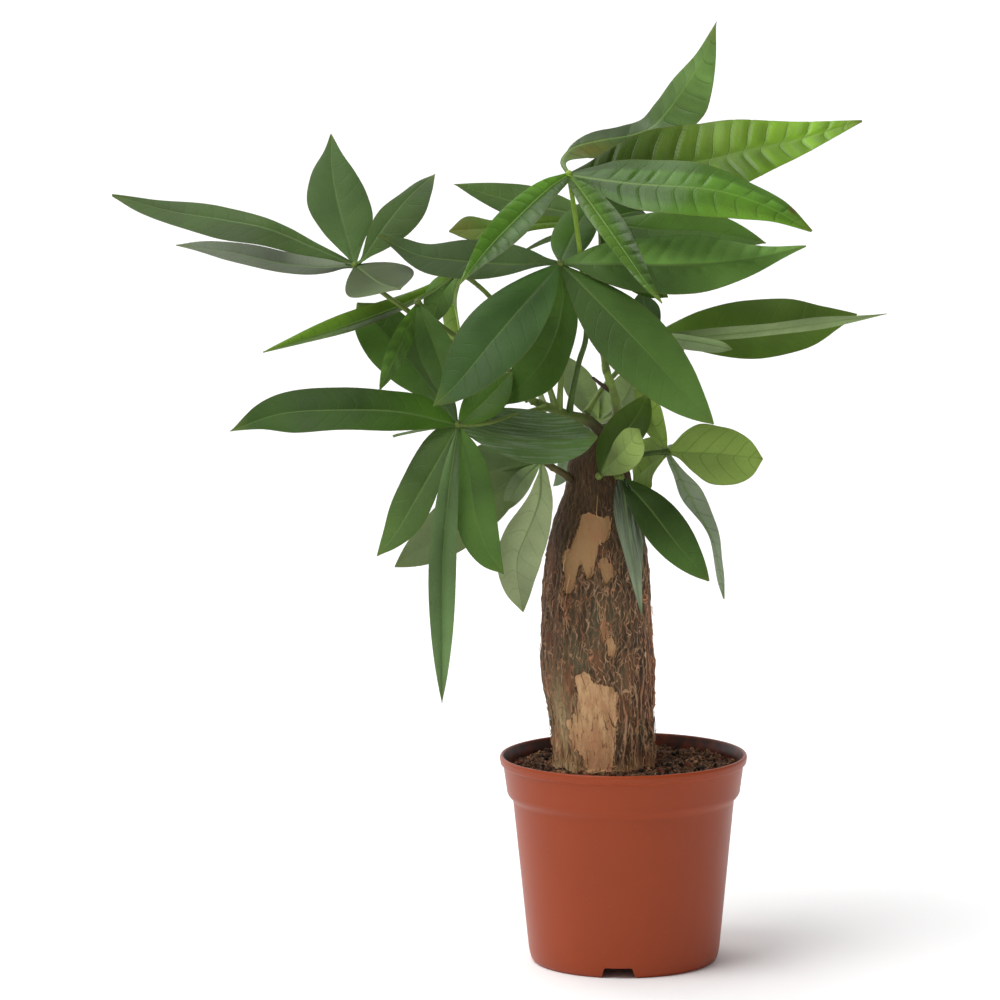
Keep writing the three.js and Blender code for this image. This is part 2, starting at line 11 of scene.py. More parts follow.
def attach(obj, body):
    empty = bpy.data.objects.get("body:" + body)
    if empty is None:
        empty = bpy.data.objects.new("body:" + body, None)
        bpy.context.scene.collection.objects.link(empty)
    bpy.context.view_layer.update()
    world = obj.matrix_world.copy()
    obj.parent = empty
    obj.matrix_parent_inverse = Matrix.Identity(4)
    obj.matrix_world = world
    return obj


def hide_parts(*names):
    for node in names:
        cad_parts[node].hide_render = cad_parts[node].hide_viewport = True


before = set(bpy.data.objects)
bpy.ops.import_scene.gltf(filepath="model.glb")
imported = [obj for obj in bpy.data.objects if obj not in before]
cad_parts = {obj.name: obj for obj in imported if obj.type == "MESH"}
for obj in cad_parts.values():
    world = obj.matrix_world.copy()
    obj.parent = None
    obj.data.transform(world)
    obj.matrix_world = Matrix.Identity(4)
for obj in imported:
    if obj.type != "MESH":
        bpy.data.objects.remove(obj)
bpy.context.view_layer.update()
scene = bpy.context.scene
mm = 0.001

# The photograph's viewpoint: places below are [across, down, back], the first two in its frame of
# 1000 by 1000 and the third in millimetres behind the pot's axis
photo = {
    "distance": 2.300,
    "height": 0.523,
    "side": -0.0589,
    "pitch": math.radians(7.375),
    "roll": math.radians(0.4),
    "focal": 4820,
    "frame": 1000,
    "sensor": 36,
    "clip": (0.05, 200),
}
ahead = np.array((0, math.cos(photo["pitch"]), -math.sin(photo["pitch"])))
upright = np.array((0, math.sin(photo["pitch"]), math.cos(photo["pitch"])))
level = np.array((1.0, 0, 0))
photoRight = level * math.cos(photo["roll"]) - upright * math.sin(photo["roll"])
photoUp = upright * math.cos(photo["roll"]) + level * math.sin(photo["roll"])
eye = np.array((photo["side"], -photo["distance"], photo["height"]))


def place(across, down, back):
    sight = ahead * photo["focal"] + photoRight * (across - photo["frame"] / 2)
    sight = sight + photoUp * (photo["frame"] / 2 - down)
    return eye + sight * ((back * mm + photo["distance"]) / sight[1])


def seenAt(points):
    # where points show in the photograph's frame
    away = points - eye
    depth = away @ ahead
    across = photo["frame"] / 2 + photo["focal"] * (away @ photoRight) / depth
    down = photo["frame"] / 2 - photo["focal"] * (away @ photoUp) / depth
    return across, down


cameraData = bpy.data.cameras.new("camera")
cameraData.sensor_width = photo["sensor"]
cameraData.lens = photo["sensor"] * photo["focal"] / photo["frame"]
cameraData.clip_start, cameraData.clip_end = photo["clip"]
camera = bpy.data.objects.new("camera", cameraData)
camera.matrix_world = Matrix((
    (photoRight[0], photoUp[0], -ahead[0], eye[0]),
    (photoRight[1], photoUp[1], -ahead[1], eye[1]),
    (photoRight[2], photoUp[2], -ahead[2], eye[2]),
    (0, 0, 0, 1),
))
scene.collection.objects.link(camera)
scene.camera = camera
scene.view_settings.view_transform = "Standard"
print("camera set")


# Small helpers

def smoothStep(low, high, value):
    t = np.clip((value - low) / (high - low), 0, 1)
    return t * t * (3 - 2 * t)


def unit(v):
    return v / np.linalg.norm(v, axis=-1, keepdims=True)


def colour(red, green, blue):
    # a screen colour of 0 to 255, made linear
    shares = [c / 255 for c in (red, green, blue)]
    return tuple(c / 12.92 if c <= 0.04045 else ((c + 0.055) / 1.055) ** 2.4 for c in shares)


def smoothRoute(points, steps=24):
    # centripetal Catmull-Rom through the points
    p = np.array(points, float)
    p = np.vstack([2 * p[0] - p[1], p, 2 * p[-1] - p[-2]])
    made = []
    w = np.linspace(0, 1, steps, endpoint=False)[:, None]
    for i in range(1, len(p) - 2):
        a, b, c, d = p[i - 1], p[i], p[i + 1], p[i + 2]
        before, here, after = (math.sqrt(np.linalg.norm(v)) for v in (b - a, c - b, d - c))
        out = ((b - a) / before - (c - a) / (before + here) + (c - b) / here) * here
        into = ((c - b) / here - (d - b) / (here + after) + (d - c) / after) * here
        square = -3 * b + 3 * c - 2 * out - into
        cube = 2 * b - 2 * c + out + into
        made.append(b + out * w + square * w ** 2 + cube * w ** 3)
    made.append(p[-2][None])
    return np.vstack(made)


def evenRoute(points, shares):
    # points and directions at the given shares of a route's length, and that length
    line = smoothRoute(points)
    run = np.concatenate([[0], np.cumsum(np.linalg.norm(np.diff(line, axis=0), axis=1))])
    slope = unit(np.gradient(line, run, axis=0))
    at = np.asarray(shares) * run[-1]
    middle = np.stack([np.interp(at, run, line[:, k]) for k in range(3)], axis=1)
    along = unit(np.stack([np.interp(at, run, slope[:, k]) for k in range(3)], axis=1))
    return middle, along, run[-1]


def routeLength(points):
    return evenRoute(points, [0, 1])[2] / mm


def roughness(points, scale, stretch, octaves, shift):
    # a smooth random value of about -1 to 1 at each point, scale in mm
    size = 1 / (scale * mm)
    drift = Vector((shift, -shift, 2 * shift))
    return np.array([
        noise.fractal(Vector((x, y, z * stretch)) * size + drift, 1.0, 2.0, octaves)
        for x, y, z in points
    ])


# Meshes are gathered as skins: rings of points, a material for each column, values at each point

def newSkin():
    return {"count": 0, "points": [], "faces": [], "slots": [], "creases": [], "values": {}}


def addRings(skin, rings, slots=0, creases=(), **values):
    rows, columns = rings.shape[:2]
    index = skin["count"] + np.arange(rows * columns).reshape(rows, columns)
    beside = np.roll(index, -1, axis=1)
    quads = np.stack([index[:-1], beside[:-1], beside[1:], index[1:]], axis=-1)
    slotRow = np.broadcast_to(slots, columns)
    skin["faces"] += quads.reshape(-1, 4).tolist()
    skin["slots"] += np.tile(slotRow, rows - 1).tolist()
    skin["faces"] += [index[0, ::-1].tolist(), index[-1].tolist()]
    skin["slots"] += [int(slotRow[0]), int(slotRow[0])]
    marks = np.zeros((rows, columns), int)
    for column in creases:
        marks[:, column] = skin["count"] + 1 + column
    skin["creases"].append(marks.ravel())
    skin["points"].append(rings.reshape(-1, 3))
    skin["count"] += rows * columns
    for name, value in values.items():
        spread = np.broadcast_to(value, (rows, columns, 3)).reshape(-1, 3)
        skin["values"].setdefault(name, []).append(spread)


def addPiece(name, mesh, materials, node=None):
    for material in materials:
        mesh.materials.append(material)
    piece = bpy.data.objects.new(name, mesh)
    scene.collection.objects.link(piece)
    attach(piece, "root")
    if node:
        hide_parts(node)


def makePiece(name, skin, materials, node=None):
    mesh = bpy.data.meshes.new(name)
    mesh.from_pydata(np.vstack(skin["points"]).tolist(), [], skin["faces"])
    mesh.polygons.foreach_set("material_index", skin["slots"])
    mesh.polygons.foreach_set("use_smooth", [True] * len(mesh.polygons))
    for label, parts in skin["values"].items():
        data = np.vstack(parts).astype(np.float32)
        if label == "tone":
            data = np.hstack([data, np.ones((len(data), 1), np.float32)])
            mesh.attributes.new(label, "FLOAT_COLOR", "POINT").data.foreach_set("color", data.ravel())
        else:
            mesh.attributes.new(label, "FLOAT_VECTOR", "POINT").data.foreach_set("vector", data.ravel())
    marks = np.concatenate(skin["creases"])
    if marks.any():
        ends = np.zeros(len(mesh.edges) * 2, np.int32)
        mesh.edges.foreach_get("vertices", ends)
        first, second = marks[ends[::2]], marks[ends[1::2]]
        sharp = (first > 0) & (first == second)
        mesh.attributes.new("sharp_edge", "BOOLEAN", "EDGE").data.foreach_set("value", sharp)
    mesh.update()
    addPiece(name, mesh, materials, node)


def tubeRings(points, sizes, sides, shares):
    # a round tube with one radius for each share of the route
    middle, along, _ = evenRoute(points, shares)
    side = np.array((1, 0.3, 0.0))
    turns = np.linspace(0, 2 * math.pi, sides, endpoint=False)[:, None]
    rings = []
    for centre, forward, size in zip(middle, along, sizes):
        side = unit(side - forward * (side @ forward))
        other = np.cross(forward, side)
        rings.append(centre + size * (np.cos(turns) * side + np.sin(turns) * other))
    return np.array(rings)


# Shader helpers

def feed(tree, made, inputs):
    # a link for each socket given, and each constant set on its own socket
    for key, value in inputs.items():
        if isinstance(value, bpy.types.NodeSocket):
            tree.links.new(value, made.inputs[key])
        else:
            made.inputs[key].default_value = value


def addNode(tree, kind, inputs=None, **settings):
    made = tree.nodes.new("ShaderNode" + kind)
    for key, value in settings.items():
        setattr(made, key, value)
    feed(tree, made, inputs or {})
    return made


def maths(tree, operation, a, b=0.0):
    return addNode(tree, "Math", {0: a, 1: b}, operation=operation).outputs[0]


def times(tree, a, b):
    return maths(tree, "MULTIPLY", a, b)


def plus(tree, a, b):
    return maths(tree, "ADD", a, b)


def less(tree, a, b):
    return maths(tree, "SUBTRACT", a, b)


def ramp(tree, value, low, high, atLow=0.0, atHigh=1.0):
    inputs = {"Value": value, "From Min": low, "From Max": high, "To Min": atLow, "To Max": atHigh}
    return addNode(tree, "MapRange", inputs, interpolation_type="SMOOTHSTEP").outputs[0]


def mixed(tree, factor, a, b, blend="MIX"):
    sockets = {0: factor}
    for index, value in ((6, a), (7, b)):
        sockets[index] = (*value, 1) if isinstance(value, tuple) else value
    return addNode(tree, "Mix", sockets, data_type="RGBA", blend_type=blend).outputs[2]


def cloud(tree, where, scale, detail=3.0, rough=0.5):
    inputs = {"Vector": where, "Scale": scale, "Detail": detail, "Roughness": rough}
    return addNode(tree, "TexNoise", inputs).outputs[0]


def stretched(tree, where, x, y, z):
    return addNode(tree, "VectorMath", {0: where, 1: (x, y, z)}, operation="MULTIPLY").outputs[0]


def attribute(tree, name):
    return addNode(tree, "Attribute", attribute_name=name).outputs


def objectPlace(tree):
    return addNode(tree, "TexCoord").outputs["Object"]


def parted(tree, vector):
    return addNode(tree, "SeparateXYZ", {0: vector}).outputs


def bumped(tree, height, strength, distance):
    inputs = {"Height": height, "Strength": strength, "Distance": distance * mm}
    return addNode(tree, "Bump", inputs).outputs[0]


def principled(tree, base, roughness, normal, specular):
    return addNode(tree, "BsdfPrincipled", {
        "Base Color": base, "Roughness": roughness, "Normal": normal, "Specular IOR Level": specular,
    }).outputs[0]


def newMaterial(name):
    material = bpy.data.materials.new(name)
    material.use_nodes = True
    material.node_tree.nodes.clear()
    return material, material.node_tree


def closeMaterial(tree, surface):
    addNode(tree, "OutputMaterial", {"Surface": surface})


def newGroup(name, takes, gives):
    group = bpy.data.node_groups.new(name, "ShaderNodeTree")
    for label, value in takes.items():
        kind = "NodeSocketColor" if isinstance(value, tuple) else "NodeSocketFloat"
        socket = group.interface.new_socket(label, in_out="INPUT", socket_type=kind)
        socket.default_value = (*value, 1) if isinstance(value, tuple) else value
    for label, kind in gives.items():
        group.interface.new_socket(label, in_out="OUTPUT", socket_type="NodeSocket" + kind)
    return group, group.nodes.new("NodeGroupInput").outputs, group.nodes.new("NodeGroupOutput")


def useGroup(tree, group, inputs):
    made = tree.nodes.new("ShaderNodeGroup")
    made.node_tree = group
    feed(tree, made, {k: (*v, 1) if isinstance(v, tuple) else v for k, v in inputs.items()})
    return made.outputs


def makeMottle():
    # uneven colour: broad clouds and fine grain around one colour
    takes = {"Color": (0.5, 0.5, 0.5), "Broad Size": 20.0, "Broad": 0.1, "Fine Size": 1.0, "Fine": 0.05}
    group, given, output = newGroup("mottle", takes, {"Color": "Color", "Value": "Float"})
    where = objectPlace(group)
    broadScale = maths(group, "DIVIDE", 1000.0, given["Broad Size"])
    fineScale = maths(group, "DIVIDE", 1000.0, given["Fine Size"])
    broad = ramp(group, cloud(group, where, broadScale, 2.0), 0.3, 0.7, -1.0, 1.0)
    fine = ramp(group, cloud(group, where, fineScale, 3.0), 0.25, 0.75, -1.0, 1.0)
    broadShift = times(group, broad, given["Broad"])
    shift = plus(group, broadShift, times(group, fine, given["Fine"]))
    strength = plus(group, shift, 1.0)
    made = addNode(group, "VectorMath", {0: given["Color"], "Scale": strength}, operation="SCALE")
    group.links.new(made.outputs[0], output.inputs["Color"])
    group.links.new(shift, output.inputs["Value"])
    return group


def makeGrain():
    # fine relief, drawn out along the height when Stretch is under 1
    group, given, output = newGroup("grain", {"Size": 1.0, "Stretch": 1.0}, {"Height": "Float"})
    where = objectPlace(group)
    joined = addNode(group, "CombineXYZ", {0: 1.0, 1: 1.0, 2: given["Stretch"]}).outputs[0]
    drawn = addNode(group, "VectorMath", {0: where, 1: joined}, operation="MULTIPLY").outputs[0]
    scale = maths(group, "DIVIDE", 1000.0, given["Size"])
    group.links.new(cloud(group, drawn, scale, 5.0, 0.6), output.inputs["Height"])
    return group


def makeBladePattern():
    # a leaflet's veins from its own measures: blade is along, across and vein count, part is
    # share of the length, share of the half width and a random number
    takes = {"Vein Width": 0.5, "Rib Width": 0.7, "Net Size": 1.6}
    gives = {"Vein": "Float", "Rib": "Float", "Net": "Float", "Margin": "Float", "Tip": "Float"}
    group, given, output = newGroup("bladePattern", takes, gives)
    blade = attribute(group, "blade")["Vector"]
    along, across, count = parted(group, blade)
    share, edge, chance = parted(group, attribute(group, "part")["Vector"])
    turned = maths(group, "ABSOLUTE", less(group, count, maths(group, "ROUND", count)))
    vein = ramp(group, times(group, turned, 9.0), 0.0, given["Vein Width"], 1.0, 0.0)
    vein = times(group, vein, ramp(group, edge, 0.75, 0.98, 1.0, 0.0))
    vein = times(group, vein, ramp(group, share, 0.0, 0.08))
    offRib = maths(group, "ABSOLUTE", across)
    ribWidth = times(group, given["Rib Width"], ramp(group, share, 0.0, 1.0, 1.0, 0.3))
    rib = ramp(group, maths(group, "DIVIDE", offRib, ribWidth), 0.55, 1.0, 1.0, 0.0)
    flat = addNode(group, "CombineXYZ", {0: along, 1: across, 2: times(group, chance, 50.0)})
    scale = maths(group, "DIVIDE", 1.0, given["Net Size"])
    cells = addNode(
        group, "TexVoronoi", {"Vector": flat.outputs[0], "Scale": scale}, feature="DISTANCE_TO_EDGE",
    )
    net = ramp(group, cells.outputs["Distance"], 0.0, 0.12, 1.0, 0.0)
    for label, value in {
        "Vein": vein, "Rib": rib, "Net": net,
        "Margin": ramp(group, edge, 0.95, 1.0), "Tip": ramp(group, share, 0.88, 1.0),
    }.items():
        group.links.new(value, output.inputs[label])
    return group


mottle = makeMottle()
grain = makeGrain()
bladePattern = makeBladePattern()
print("shader groups made")


# Pot: one moulding with a lip, a stepped band, a tapered wall, foot notches and drain holes, in mm
pot = {
    "height": 101,
    "rimRadius": 60,
    "footRadius": 44,
    "wall": 1.4,
    "floor": 6.5,
    "lip": 4.5,
    "band": 14.5,
    "step": 3,
    "bandTop": 58.2,
    "bandFoot": 56.3,
    "wallTop": 53.6,
    "wallFoot": 46.4,
    "footRound": 6,
    "boss": 6,
    "sides": 192,
    "sharpOver": 32,
    "notches": {
        "count": 3, "turn": -95, "height": 5.2, "top": 13.4, "foot": 17, "reach": 12, "round": 0.8,
    },
    "drains": {"count": 6, "radius": 4, "circle": 27, "depth": 6, "sides": 24},
    "colour": colour(148, 60, 24),
    "shine": 0.4,
    # the colour of the painted shade on the inside of the wall above the soil
    "dust": colour(196, 140, 118),
    "shadeInside": colour(46, 28, 20),
    "shadedInside": {
        "foot": 88, "lipFoot": 96.5, "lipTop": 100.9, "lipStep": 1.4,
        "middle": (56.4, 57.5), "share": (0.6, 0.95),
    },
}


def rounded(corners, steps=5):
    # an open outline with each corner of [across, up, radius] eased by a curve
    made = []
    for i, (x, y, radius) in enumerate(corners):
        here = np.array((x, y), float)
        if radius == 0 or i in (0, len(corners) - 1):
            made.append(here)
            continue
        before = np.array(corners[i - 1][:2], float) - here
        after = np.array(corners[i + 1][:2], float) - here
        reach = min(radius, 0.45 * np.linalg.norm(before), 0.45 * np.linalg.norm(after))
        start, end = here + unit(before) * reach, here + unit(after) * reach
        for t in np.linspace(0, 1, steps):
            made.append((1 - t) ** 2 * start + 2 * t * (1 - t) * here + t * t * end)
    return np.array(made)


def potOutline():
    # the half section's corners, each [across, up, rounding]
    wall, floor, boss, foot = pot["wall"], pot["floor"], pot["boss"], pot["footRadius"]
    rim, high = pot["rimRadius"], pot["height"]
    lipFoot = high - pot["lip"]
    bandFoot = lipFoot - pot["band"]
    stepFoot = bandFoot - pot["step"]
    corners = [
        (0, 0, 0), (boss, 0, 0), (boss, floor - wall, 1), (foot - wall, floor - wall, 1),
        (foot - wall, 0, 0.3), (foot, 0, 0.5), (foot + 1.4, 1.6, 1.4),
        (pot["wallFoot"], pot["footRound"], 4), (pot["wallTop"], stepFoot, 1.2),
        (pot["bandFoot"], bandFoot, 1.6), (pot["bandTop"], lipFoot - 0.4, 0.5),
        (rim - 0.5, lipFoot + 0.3, 0.7), (rim - 0.05, high - 1.2, 0.9), (rim - 0.6, high, 0.6),
        (rim - 1.7, high - 0.1, 0.6), (pot["bandTop"] - wall, lipFoot, 1),
        (pot["bandFoot"] - wall, bandFoot + 0.6, 1.5), (pot["wallTop"] - wall, stepFoot + 0.6, 1),
        (pot["wallFoot"] - wall, floor, 2), (0, floor, 0),
    ]
    return rounded(corners) * mm


def cutters():
    # the three foot notches and the drain holes as one mesh of closed blocks
    made = bmesh.new()
    notches, drains = pot["notches"], pot["drains"]
    for i in range(notches["count"]):
        turn = Matrix.Rotation(math.radians(notches["turn"] + 360 / notches["count"] * i), 4, "Z")
        foot, top, high = notches["foot"] / 2, notches["top"] / 2, notches["height"]
        section = [(-foot, -1), (foot, -1), (top, high), (-top, high), (-foot, -1)]
        section = rounded([(x, y, 0 if y < 0 else notches["round"]) for x, y in section])[:-1]
        near = pot["footRadius"] - notches["reach"] / 2
        far = near + notches["reach"]
        rings = [[made.verts.new(turn @ Vector((r, x, z)) * mm) for x, z in section] for r in (near, far)]
        count = len(section)
        for j in range(count):
            k = (j + 1) % count
            made.faces.new((rings[0][j], rings[0][k], rings[1][k], rings[1][j]))
        made.faces.new(rings[0][::-1])
        made.faces.new(rings[1])
    for i in range(drains["count"]):
        turn = Matrix.Rotation(2 * math.pi * i / drains["count"], 4, "Z")
        spot = turn @ Matrix.Translation(Vector((drains["circle"], 0, pot["floor"])) * mm)
        radius = drains["radius"] * mm
        bmesh.ops.create_cone(
            made, cap_ends=True, segments=drains["sides"], radius1=radius, radius2=radius,
            depth=drains["depth"] * mm, matrix=spot,
        )
    bmesh.ops.recalc_face_normals(made, faces=made.faces)
    mesh = bpy.data.meshes.new("cutters")
    made.to_mesh(mesh)
    made.free()
    return mesh


def makePotMesh():
    outline = potOutline()
    turns = np.linspace(0, 2 * math.pi, pot["sides"], endpoint=False)
    made = bmesh.new()
    rings = []
    for radius, height in outline:
        around = [(radius * math.cos(a), radius * math.sin(a), height) for a in turns]
        rings.append([made.verts.new(p) for p in (around if radius > 0 else around[:1])])
    for low, high in zip(rings, rings[1:]):
        for j in range(pot["sides"]):
            k = (j + 1) % pot["sides"]
            if len(low) == 1:
                made.faces.new((low[0], high[k], high[j]))
            elif len(high) == 1:
                made.faces.new((low[j], low[k], high[0]))
            else:
                made.faces.new((low[j], low[k], high[k], high[j]))
    bmesh.ops.recalc_face_normals(made, faces=made.faces)
    whole = bpy.data.meshes.new("potWhole")
    made.to_mesh(whole)
    made.free()
    body = bpy.data.objects.new("potWhole", whole)
    cutter = bpy.data.objects.new("cutters", cutters())
    for part in (body, cutter):
        scene.collection.objects.link(part)
    cut = body.modifiers.new("openings", "BOOLEAN")
    cut.operation = "DIFFERENCE"
    cut.object = cutter
    cut.solver = "EXACT"
    mesh = bpy.data.meshes.new_from_object(body.evaluated_get(bpy.context.evaluated_depsgraph_get()))
    mesh.name = "potMoulding"
    for part in (body, cutter):
        bpy.data.objects.remove(part)
    sharp = math.radians(pot["sharpOver"])
    done = bmesh.new()
    done.from_mesh(mesh)
    for face in done.faces:
        face.smooth = True
    for edge in done.edges:
        edge.smooth = len(edge.link_faces) == 2 and edge.calc_face_angle(0) < sharp
    done.to_mesh(mesh)
    done.free()
    return mesh


def plasticMaterial():
    material, tree = newMaterial("potPlastic")
    uneven = useGroup(tree, mottle, {
        "Color": pot["colour"], "Broad Size": 45.0, "Broad": 0.035, "Fine Size": 0.7, "Fine": 0.03,
    })
    where = objectPlace(tree)
    specks = ramp(tree, cloud(tree, where, 1400.0, 1.0), 0.74, 0.8)
    dusty = mixed(tree, times(tree, specks, 0.25), uneven["Color"], pot["dust"])
    # painted shade darkens the inside above the soil: what lies within the middle of the wall
    x, y, z = parted(tree, where)
    away = maths(tree, "SQRT", plus(tree, times(tree, x, x), times(tree, y, y)))
    shadedInside = pot["shadedInside"]
    foot, lipFoot, lipTop, lipStep = (shadedInside[k] * mm for k in ("foot", "lipFoot", "lipTop", "lipStep"))
    low, high = (radius * mm for radius in shadedInside["middle"])
    middle = ramp(tree, z, foot, lipFoot - 0.1 * mm, low, high)
    middle = plus(tree, middle, ramp(tree, z, lipFoot, lipTop, 0.0, lipStep))
    inner = ramp(tree, less(tree, away, middle), 0.0, 0.05 * mm, 1.0, 0.0)
    shadeInside = times(tree, inner, ramp(tree, z, foot, foot + mm))
    shadeInside = times(tree, shadeInside, ramp(tree, z, (pot["height"] - 1.5) * mm, pot["height"] * mm, 1.0, 0.5))
    shadeInside = times(tree, shadeInside, ramp(tree, cloud(tree, where, 160.0, 4.0), 0.3, 0.6, *shadedInside["share"]))
    dusty = mixed(tree, shadeInside, dusty, pot["shadeInside"])
    height = useGroup(tree, grain, {"Size": 0.5, "Stretch": 1.0})["Height"]
    shine = plus(tree, times(tree, uneven["Value"], 0.6), pot["shine"])
    closeMaterial(tree, principled(tree, dusty, shine, bumped(tree, height, 0.12, 0.1), 0.26))
    return material


addPiece("pot_shell", makePotMesh(), [plasticMaterial()], "pot")
print("pot made")


# Peat: lumpy fill, crumbs and fibres, in mm
peat = {
    "top": 95,
    "heap": 1.6,
    "sink": 1.4,
    "lump": 1.5,
    "lumps": ((9, 1.1), (3.2, 0.7)),
    "gap": 0.3,
    "inside": 14,
    "rings": 96,
    "sides": 300,
    "crumbReach": 54.5,
    "crumbs": 2300,
    "crumbSize": (0.4, 1.6),
    "fibres": 70,
    "fibreReach": (20, 53),
    "fibreLength": (3, 9),
    "fibreThick": (0.18, 0.34),
    "seed": 11,
    "dark": colour(38, 27, 20),
    "middle": colour(97, 69, 50),
    "light": colour(148, 108, 77),
    "red": colour(110, 58, 38),
    "straw": colour(158, 124, 84),
}


def innerRadius(height):
    # the pot's inner wall, mm
    bandFootHeight = pot["height"] - pot["lip"] - pot["band"]
    heights = [pot["floor"], bandFootHeight - pot["step"], bandFootHeight, pot["height"] - pot["lip"]]
    radii = [pot["wallFoot"], pot["wallTop"], pot["bandFoot"], pot["bandTop"]]
    return np.interp(height, heights, radii) - pot["wall"]


def peatHeight(x, y):
    # the peat's surface in mm at a place in mm
    radius = math.hypot(x, y)
    spot = Vector((x, y, 0))
    lumps = sum(noise.fractal(spot / size, 1.0, 2.0, 3) * amount for size, amount in peat["lumps"])
    swell = peat["heap"] * (1 - radius / pot["rimRadius"]) - peat["sink"] * smoothStep(50, 57, radius)
    return peat["top"] + swell + lumps * peat["lump"]


def makePeat():
    skin = newSkin()
    turns = np.linspace(0, 2 * math.pi, peat["sides"], endpoint=False)
    rings = []
    for height in (pot["floor"] + 0.4, 40, 70, 80, 88):
        radius = innerRadius(height) - peat["gap"]
        rings.append([(radius * math.cos(a), radius * math.sin(a), height) for a in turns])
    for radius in np.linspace(innerRadius(peat["top"] - 1) - peat["gap"], peat["inside"], peat["rings"]):
        ring = []
        for a in turns:
            x, y = radius * math.cos(a), radius * math.sin(a)
            ring.append((x, y, peatHeight(x, y)))
        rings.append(ring)
    addRings(skin, np.array(rings) * mm, tone=peat["middle"])
    makePiece("peat_fill", skin, [peatMaterial()], "soil")


def peatMaterial():
    material, tree = newMaterial("peatCrumb")
    tone = attribute(tree, "tone")["Color"]
    uneven = useGroup(tree, mottle, {
        "Color": tone, "Broad Size": 6.0, "Broad": 0.35, "Fine Size": 0.9, "Fine": 0.45,
    })
    where = objectPlace(tree)
    pits = ramp(tree, cloud(tree, where, 420.0, 3.0), 0.36, 0.52, 1.0, 0.0)
    pitted = mixed(tree, times(tree, pits, 0.75), uneven["Color"], peat["dark"])
    bits = ramp(tree, cloud(tree, where, 900.0, 1.0), 0.68, 0.74)
    flecked = mixed(tree, times(tree, bits, 0.5), pitted, peat["light"])
    height = useGroup(tree, grain, {"Size": 1.3, "Stretch": 1.0})["Height"]
    closeMaterial(tree, principled(tree, flecked, 0.92, bumped(tree, height, 0.9, 0.8), 0.25))
    return material


def ballPoints():
    # the corners and faces of a ball of 80 triangles
    ball = bmesh.new()
    bmesh.ops.create_icosphere(ball, subdivisions=2, radius=1)
    points = np.array([v.co for v in ball.verts])
    faces = np.array([[v.index for v in f.verts] for f in ball.faces])
    ball.free()
    return points, faces


def makeCrumbs():
    chance = random.Random(peat["seed"])
    points, faces = ballPoints()
    skin = newSkin()
    tones = [peat["dark"], peat["middle"], peat["middle"], peat["light"], peat["red"]]
    for i in range(peat["crumbs"]):
        radius = math.sqrt(chance.uniform(peat["inside"] ** 2, peat["crumbReach"] ** 2))
        turn = chance.uniform(0, 2 * math.pi)
        low, high = peat["crumbSize"]
        size = low + (high - low) * chance.random() ** 3
        x, y = radius * math.cos(turn), radius * math.sin(turn)
        lumpy = np.array([1 + 0.55 * noise.noise(Vector(p) * 1.6 + Vector((i, 0, 0))) for p in points])
        shape = points * lumpy[:, None] * np.array((1, chance.uniform(0.6, 1), chance.uniform(0.5, 0.9)))
        angle = chance.uniform(0, 6)
        spin = np.array(Matrix.Rotation(angle, 3, Vector((chance.random(), 1, chance.random()))))
        put = (shape @ spin.T * size + np.array((x, y, peatHeight(x, y) + 0.3 * size))) * mm
        skin["faces"] += (faces + skin["count"]).tolist()
        skin["slots"] += [0] * len(faces)
        skin["points"].append(put)
        skin["creases"].append(np.zeros(len(put), int))
        tone = np.broadcast_to(chance.choice(tones), (len(put), 3))
        skin["values"].setdefault("tone", []).append(tone)
        skin["count"] += len(put)
    makePiece("peat_crumbs", skin, [bpy.data.materials["peatCrumb"]])


def makeFibres():
    chance = random.Random(peat["seed"] + 1)
    skin = newSkin()
    near, far = peat["fibreReach"]
    for _ in range(peat["fibres"]):
        radius = math.sqrt(chance.uniform(near ** 2, far ** 2))
        turn = chance.uniform(0, 2 * math.pi)
        heading = chance.uniform(0, 2 * math.pi)
        length = chance.uniform(*peat["fibreLength"])
        x, y = radius * math.cos(turn), radius * math.sin(turn)
        route = []
        for k in range(4):
            route.append((x, y, peatHeight(x, y) + 0.5 + chance.uniform(0, 0.9)))
            heading += chance.uniform(-0.7, 0.7)
            x += length / 3 * math.cos(heading)
            y += length / 3 * math.sin(heading)
            if math.hypot(x, y) > far:
                x, y = x * 0.9, y * 0.9
        shares = np.linspace(0, 1, 9)
        sizes = chance.uniform(*peat["fibreThick"]) * mm * (1 - 0.5 * shares)
        tone = peat["straw"] if chance.random() < 0.45 else peat["light"]
        addRings(skin, tubeRings(np.array(route) * mm, sizes, 6, shares), tone=tone)
    makePiece("peat_fibres", skin, [bpy.data.materials["peatCrumb"]])


makePeat()
makeCrumbs()
makeFibres()
print("peat made")


